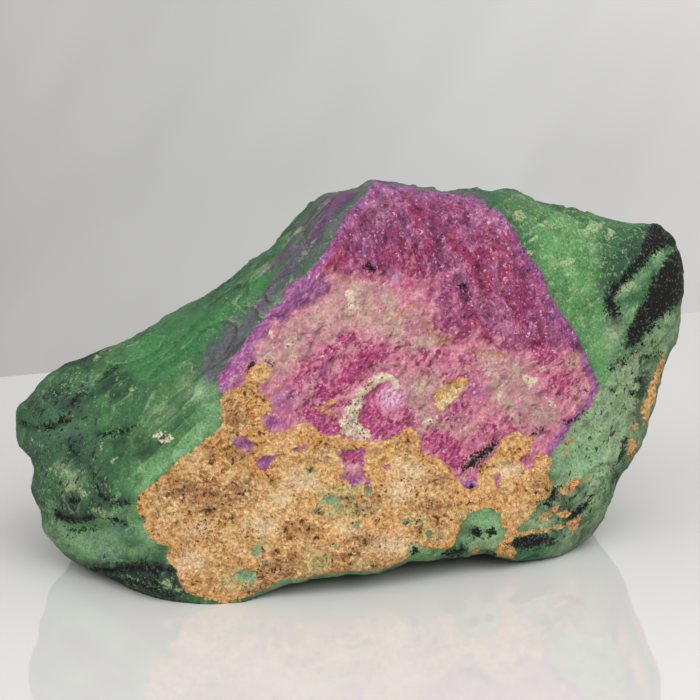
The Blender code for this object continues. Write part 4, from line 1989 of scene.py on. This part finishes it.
@dataclass(frozen=True)
class RockFinish:
    """Ruby in zoisite as the hammer left it: four minerals, each with its own break.

    It gives the eye waxy green chips, a rough glinting pink face, a dull sandy crust and
    near-black bands, in one surface.
    """

    zoisite: ZoisiteFinish = ZoisiteFinish()
    ruby: RubyFinish = RubyFinish()
    crust: CrustFinish = CrustFinish()
    hornblende: HornblendeFinish = HornblendeFinish()
    feldspar: FeldsparFinish = FeldsparFinish()
    ior: float = 1.6
    mirror_level: float = 0.13
    # Painted shade in the relief's hollows: its grey, its strength, and the depth in mm at which it is
    # full.
    cavity_shade_colour: str = "#6a6a6a"
    cavity_shade: float = 0.45
    cavity_depth: float = 0.3

    def build(self) -> bpy.types.Material:
        """Build the rock's material.

        Returns:
            The material.
        """
        rock = bpy.data.materials.new("ruby_zoisite_rock_broken")
        rock.use_nodes = True
        sheet = MineralSheet(rock.node_tree)
        add = sheet.add
        shader = rock.node_tree.nodes["Principled BSDF"]
        shader.inputs["IOR"].default_value = self.ior
        shader.inputs["Specular IOR Level"].default_value = self.mirror_level
        ragged = sheet.ragged
        frayed = add(Node.TIMES, add(Node.ADD, ragged, sheet.grit), 0.5)
        base = self.zoisite.paint(sheet)
        colour, rough, height = base.colour, base.roughness, base.height
        for share, coat in (
            (sheet.mask("ruby", ragged, 0.7, 0.2), self.ruby.paint(sheet)),
            (sheet.mask("hornblende", frayed, 2.6, 0.35), self.hornblende.paint(sheet)),
            (sheet.mask("crust", ragged, 0.8, 0.12), self.crust.paint(sheet)),
        ):
            colour = add(Node.BLEND, share, colour, coat.colour)
            rough = add(Node.FADE, share, rough, coat.roughness)
            height = add(Node.FADE, share, height, coat.height)
        pale, pale_rough = self.feldspar.paint(sheet)
        fleck = sheet.mask("feldspar", ragged, 1.0, 0.12)
        colour = add(Node.BLEND, add(Node.TIMES, fleck, 0.9), colour, pale)
        rough = add(Node.FADE, fleck, rough, pale_rough)
        # Painted shade: points that lie below their surroundings in the relief are darkened towards grey.
        low = add(Node.MARK, attribute_name="cavity")
        low = add(Node.RANGE, low, 0.0, self.cavity_depth, self.cavity_shade)
        colour = add(Node.SHADE, low, colour, self.cavity_shade_colour)
        sheet.tree.links.new(colour, shader.inputs["Base Color"])
        sheet.tree.links.new(rough, shader.inputs["Roughness"])
        sheet.tree.links.new(add(Node.BUMP, height, MM, 1.0), shader.inputs["Normal"])
        return rock


# ---------------------------------------------------------------- the specimen and its studio


@dataclass(frozen=True)
class Specimen:
    """The stone: its shape, relief, markings and finish."""

    shape: StoneShape = StoneShape()
    relief: Relief = Relief()
    finish: RockFinish = RockFinish()
    swirls: tuple[Pair, ...] = ((10.0, 4.0), (3.4, 1.2))

    def build(self, view: StudioView) -> bpy.types.Object:
        """Build the stone and put it in place of its CAD solid.

        Args:
            view: the view that its outline and markings are drawn in.

        Returns:
            The stone's object.
        """
        skin = self.shape.build(view)
        skin.warp(*self.swirls)
        measures = {marking.name: marking.measure(skin) for marking in MARKINGS}
        measures.update(self.relief.apply(skin, measures))
        mesh = bpy.data.meshes.new("ruby_in_zoisite_stone")
        mesh.from_pydata((skin.points * MM).tolist(), [], skin.quads.tolist())
        mesh.shade_smooth()
        for name, values in measures.items():
            attribute = mesh.attributes.new(name, "FLOAT", "POINT")
            attribute.data.foreach_set("value", values.astype(np.float32))
        layout = mesh.uv_layers.new(name="OFBake")
        layout.data.foreach_set("uv", skin.corner_uv.astype(np.float32).ravel())
        mesh.materials.append(self.finish.build())
        stone = placed("ruby_in_zoisite_stone", mesh)
        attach(stone, "root")
        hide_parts(NODE)
        return stone


@dataclass(frozen=True)
class Softbox:
    """A square lamp that hangs over the table and looks at the stone: places and side in mm, watts."""

    name: str
    place: Triple
    side: float
    watts: float
    target: Triple = (0.0, 0.0, 30.0)

    def hang(self) -> None:
        """Add the lamp to the scene."""
        lamp = bpy.data.lights.new(self.name, "AREA")
        lamp.shape = "SQUARE"
        lamp.size = self.side * MM
        lamp.energy = self.watts
        holder = placed(self.name, lamp)
        holder.location = Vector(self.place) * MM
        aim = Vector(self.target) - Vector(self.place)
        holder.rotation_euler = aim.to_track_quat("-Z", "Y").to_euler()
        holder.visible_camera = False


@dataclass(frozen=True)
class Studio:
    """A white glossy tabletop, a pale wall all round, and soft lights."""

    table_half_width: float = 900.0
    table_front: float = -900.0
    table_back: float = 140.0
    table_turn: float = 20.0
    thickness: float = 18.0
    rim_power: float = 0.12
    rim_points: int = 256
    table_colour: str = "#bfbebd"
    table_roughness: float = 0.035
    table_ior: float = 2.0
    wall_across: str = "0.0 #d2d1cf, 0.5 #e0e0de, 1.0 #f1f0ee"
    wall_up: str = "0.17 #e0e0e0, 0.30 #ececec, 0.74 #ececec, 0.81 #d7d7d7, 0.90 #ffffff"
    wall_folds: str = "0.36 #f6f6f6, 0.64 #ffffff"
    wall_light: Pair = (1.3, 0.2)
    across_span: Pair = (-0.2, 0.2)
    up_span: Pair = (-0.3, 0.5)
    light_span: Pair = (0.0, 0.7)
    fold_slope: float = 60.0
    fold_stretch: float = 2.4
    fold_scale: float = 14.0
    softboxes: tuple[Softbox, ...] = (
        Softbox("key_softbox", (260.0, -430.0, 560.0), 700.0, 5.15),
        Softbox("fill_softbox", (-420.0, -420.0, 400.0), 480.0, 2.0),
    )

    def table(self) -> None:
        """Build the tabletop: a rounded rectangle, extruded down, with its top at the ground.

        The rim is a superellipse: x = w cos|cos|^(p-1), y = h sin|sin|^(p-1).
        """
        turn = np.linspace(0.0, math.tau, self.rim_points, endpoint=False)
        half = (self.table_back - self.table_front) / 2.0
        middle = (self.table_back + self.table_front) / 2.0
        x = self.table_half_width * np.sign(np.cos(turn)) * np.abs(np.cos(turn)) ** self.rim_power
        y = middle + half * np.sign(np.sin(turn)) * np.abs(np.sin(turn)) ** self.rim_power
        rim = turned(np.stack([x, np.zeros_like(x), y], axis=1), -self.table_turn, 1.0)[:, [0, 2, 1]]
        points = np.concatenate([rim, rim - np.array([0.0, 0.0, self.thickness])]) * MM
        count = self.rim_points
        here = np.arange(count)
        there = (here + 1) % count
        walls = np.stack([here, here + count, there + count, there], axis=1).tolist()
        faces = [list(range(count)), list(range(2 * count - 1, count - 1, -1))] + walls
        mesh = bpy.data.meshes.new("tabletop")
        mesh.from_pydata(points.tolist(), [], faces)
        mesh.materials.append(self.table_finish())
        table = placed("tabletop", mesh)

    def table_finish(self) -> bpy.types.Material:
        """White acrylic sheet, cast and polished: a pale matt body under a clear soft mirror."""
        finish = bpy.data.materials.new("white_acrylic_polished")
        finish.use_nodes = True
        shader = finish.node_tree.nodes["Principled BSDF"]
        shader.inputs["Base Color"].default_value = linear(self.table_colour)
        shader.inputs["Roughness"].default_value = self.table_roughness
        shader.inputs["IOR"].default_value = self.table_ior
        return finish

    def world(self) -> None:
        """Paint the world as a pale wall, darker to the left, that lights the stone more from above."""
        world = bpy.data.worlds.new("pale_wall")
        bpy.context.scene.world = world
        world.use_nodes = True
        sheet = NodeSheet(world.node_tree)
        background = world.node_tree.nodes["Background"]
        way = sheet.add(Node.WAY)
        across = sheet.add(Node.AXES, way)
        up = across.node.outputs["Z"]
        colour = sheet.add(Node.RANGE, across, *self.across_span)
        colour = sheet.add(Node.RAMP, colour, stops=self.wall_across)
        shade = sheet.add(Node.RAMP, sheet.add(Node.RANGE, up, *self.up_span), stops=self.wall_up)
        colour = sheet.add(Node.SHADE, 1.0, colour, shade)
        folds = sheet.add(Node.GRAINED, way, (0.0, -math.radians(self.fold_slope), 0.0),
                          (self.fold_stretch, 1.0, 1.0))
        folds = sheet.add(Node.NOISE, folds, self.fold_scale, 2.0, 0.5)
        folds = sheet.add(Node.RAMP, folds, stops=self.wall_folds)
        colour = sheet.add(Node.SHADE, 1.0, colour, folds)
        world.node_tree.links.new(colour, background.inputs["Color"])
        overhead = sheet.add(Node.RANGE, up, *self.light_span, *self.wall_light)
        strength = sheet.add(Node.FADE, sheet.add(Node.RAY), 1.0, overhead)
        world.node_tree.links.new(strength, background.inputs["Strength"])

    def build(self) -> None:
        """Build the tabletop, the wall and the lights, and set plain colour rendering."""
        self.table()
        self.world()
        for softbox in self.softboxes:
            softbox.hang()
        bpy.context.scene.view_settings.view_transform = "Standard"
        bpy.context.scene.view_settings.look = "None"


def main() -> None:
    """Build the camera, the studio and the specimen."""
    logging.basicConfig(level=logging.INFO, format="%(name)s: %(message)s")
    view = StudioView()
    view.build()
    LOG.info("camera placed")
    Studio().build()
    LOG.info("studio built")
    stone = Specimen().build(view)
    LOG.info("%s built with %d faces", stone.name, len(stone.data.polygons))


if __name__ == "__main__":
    main()
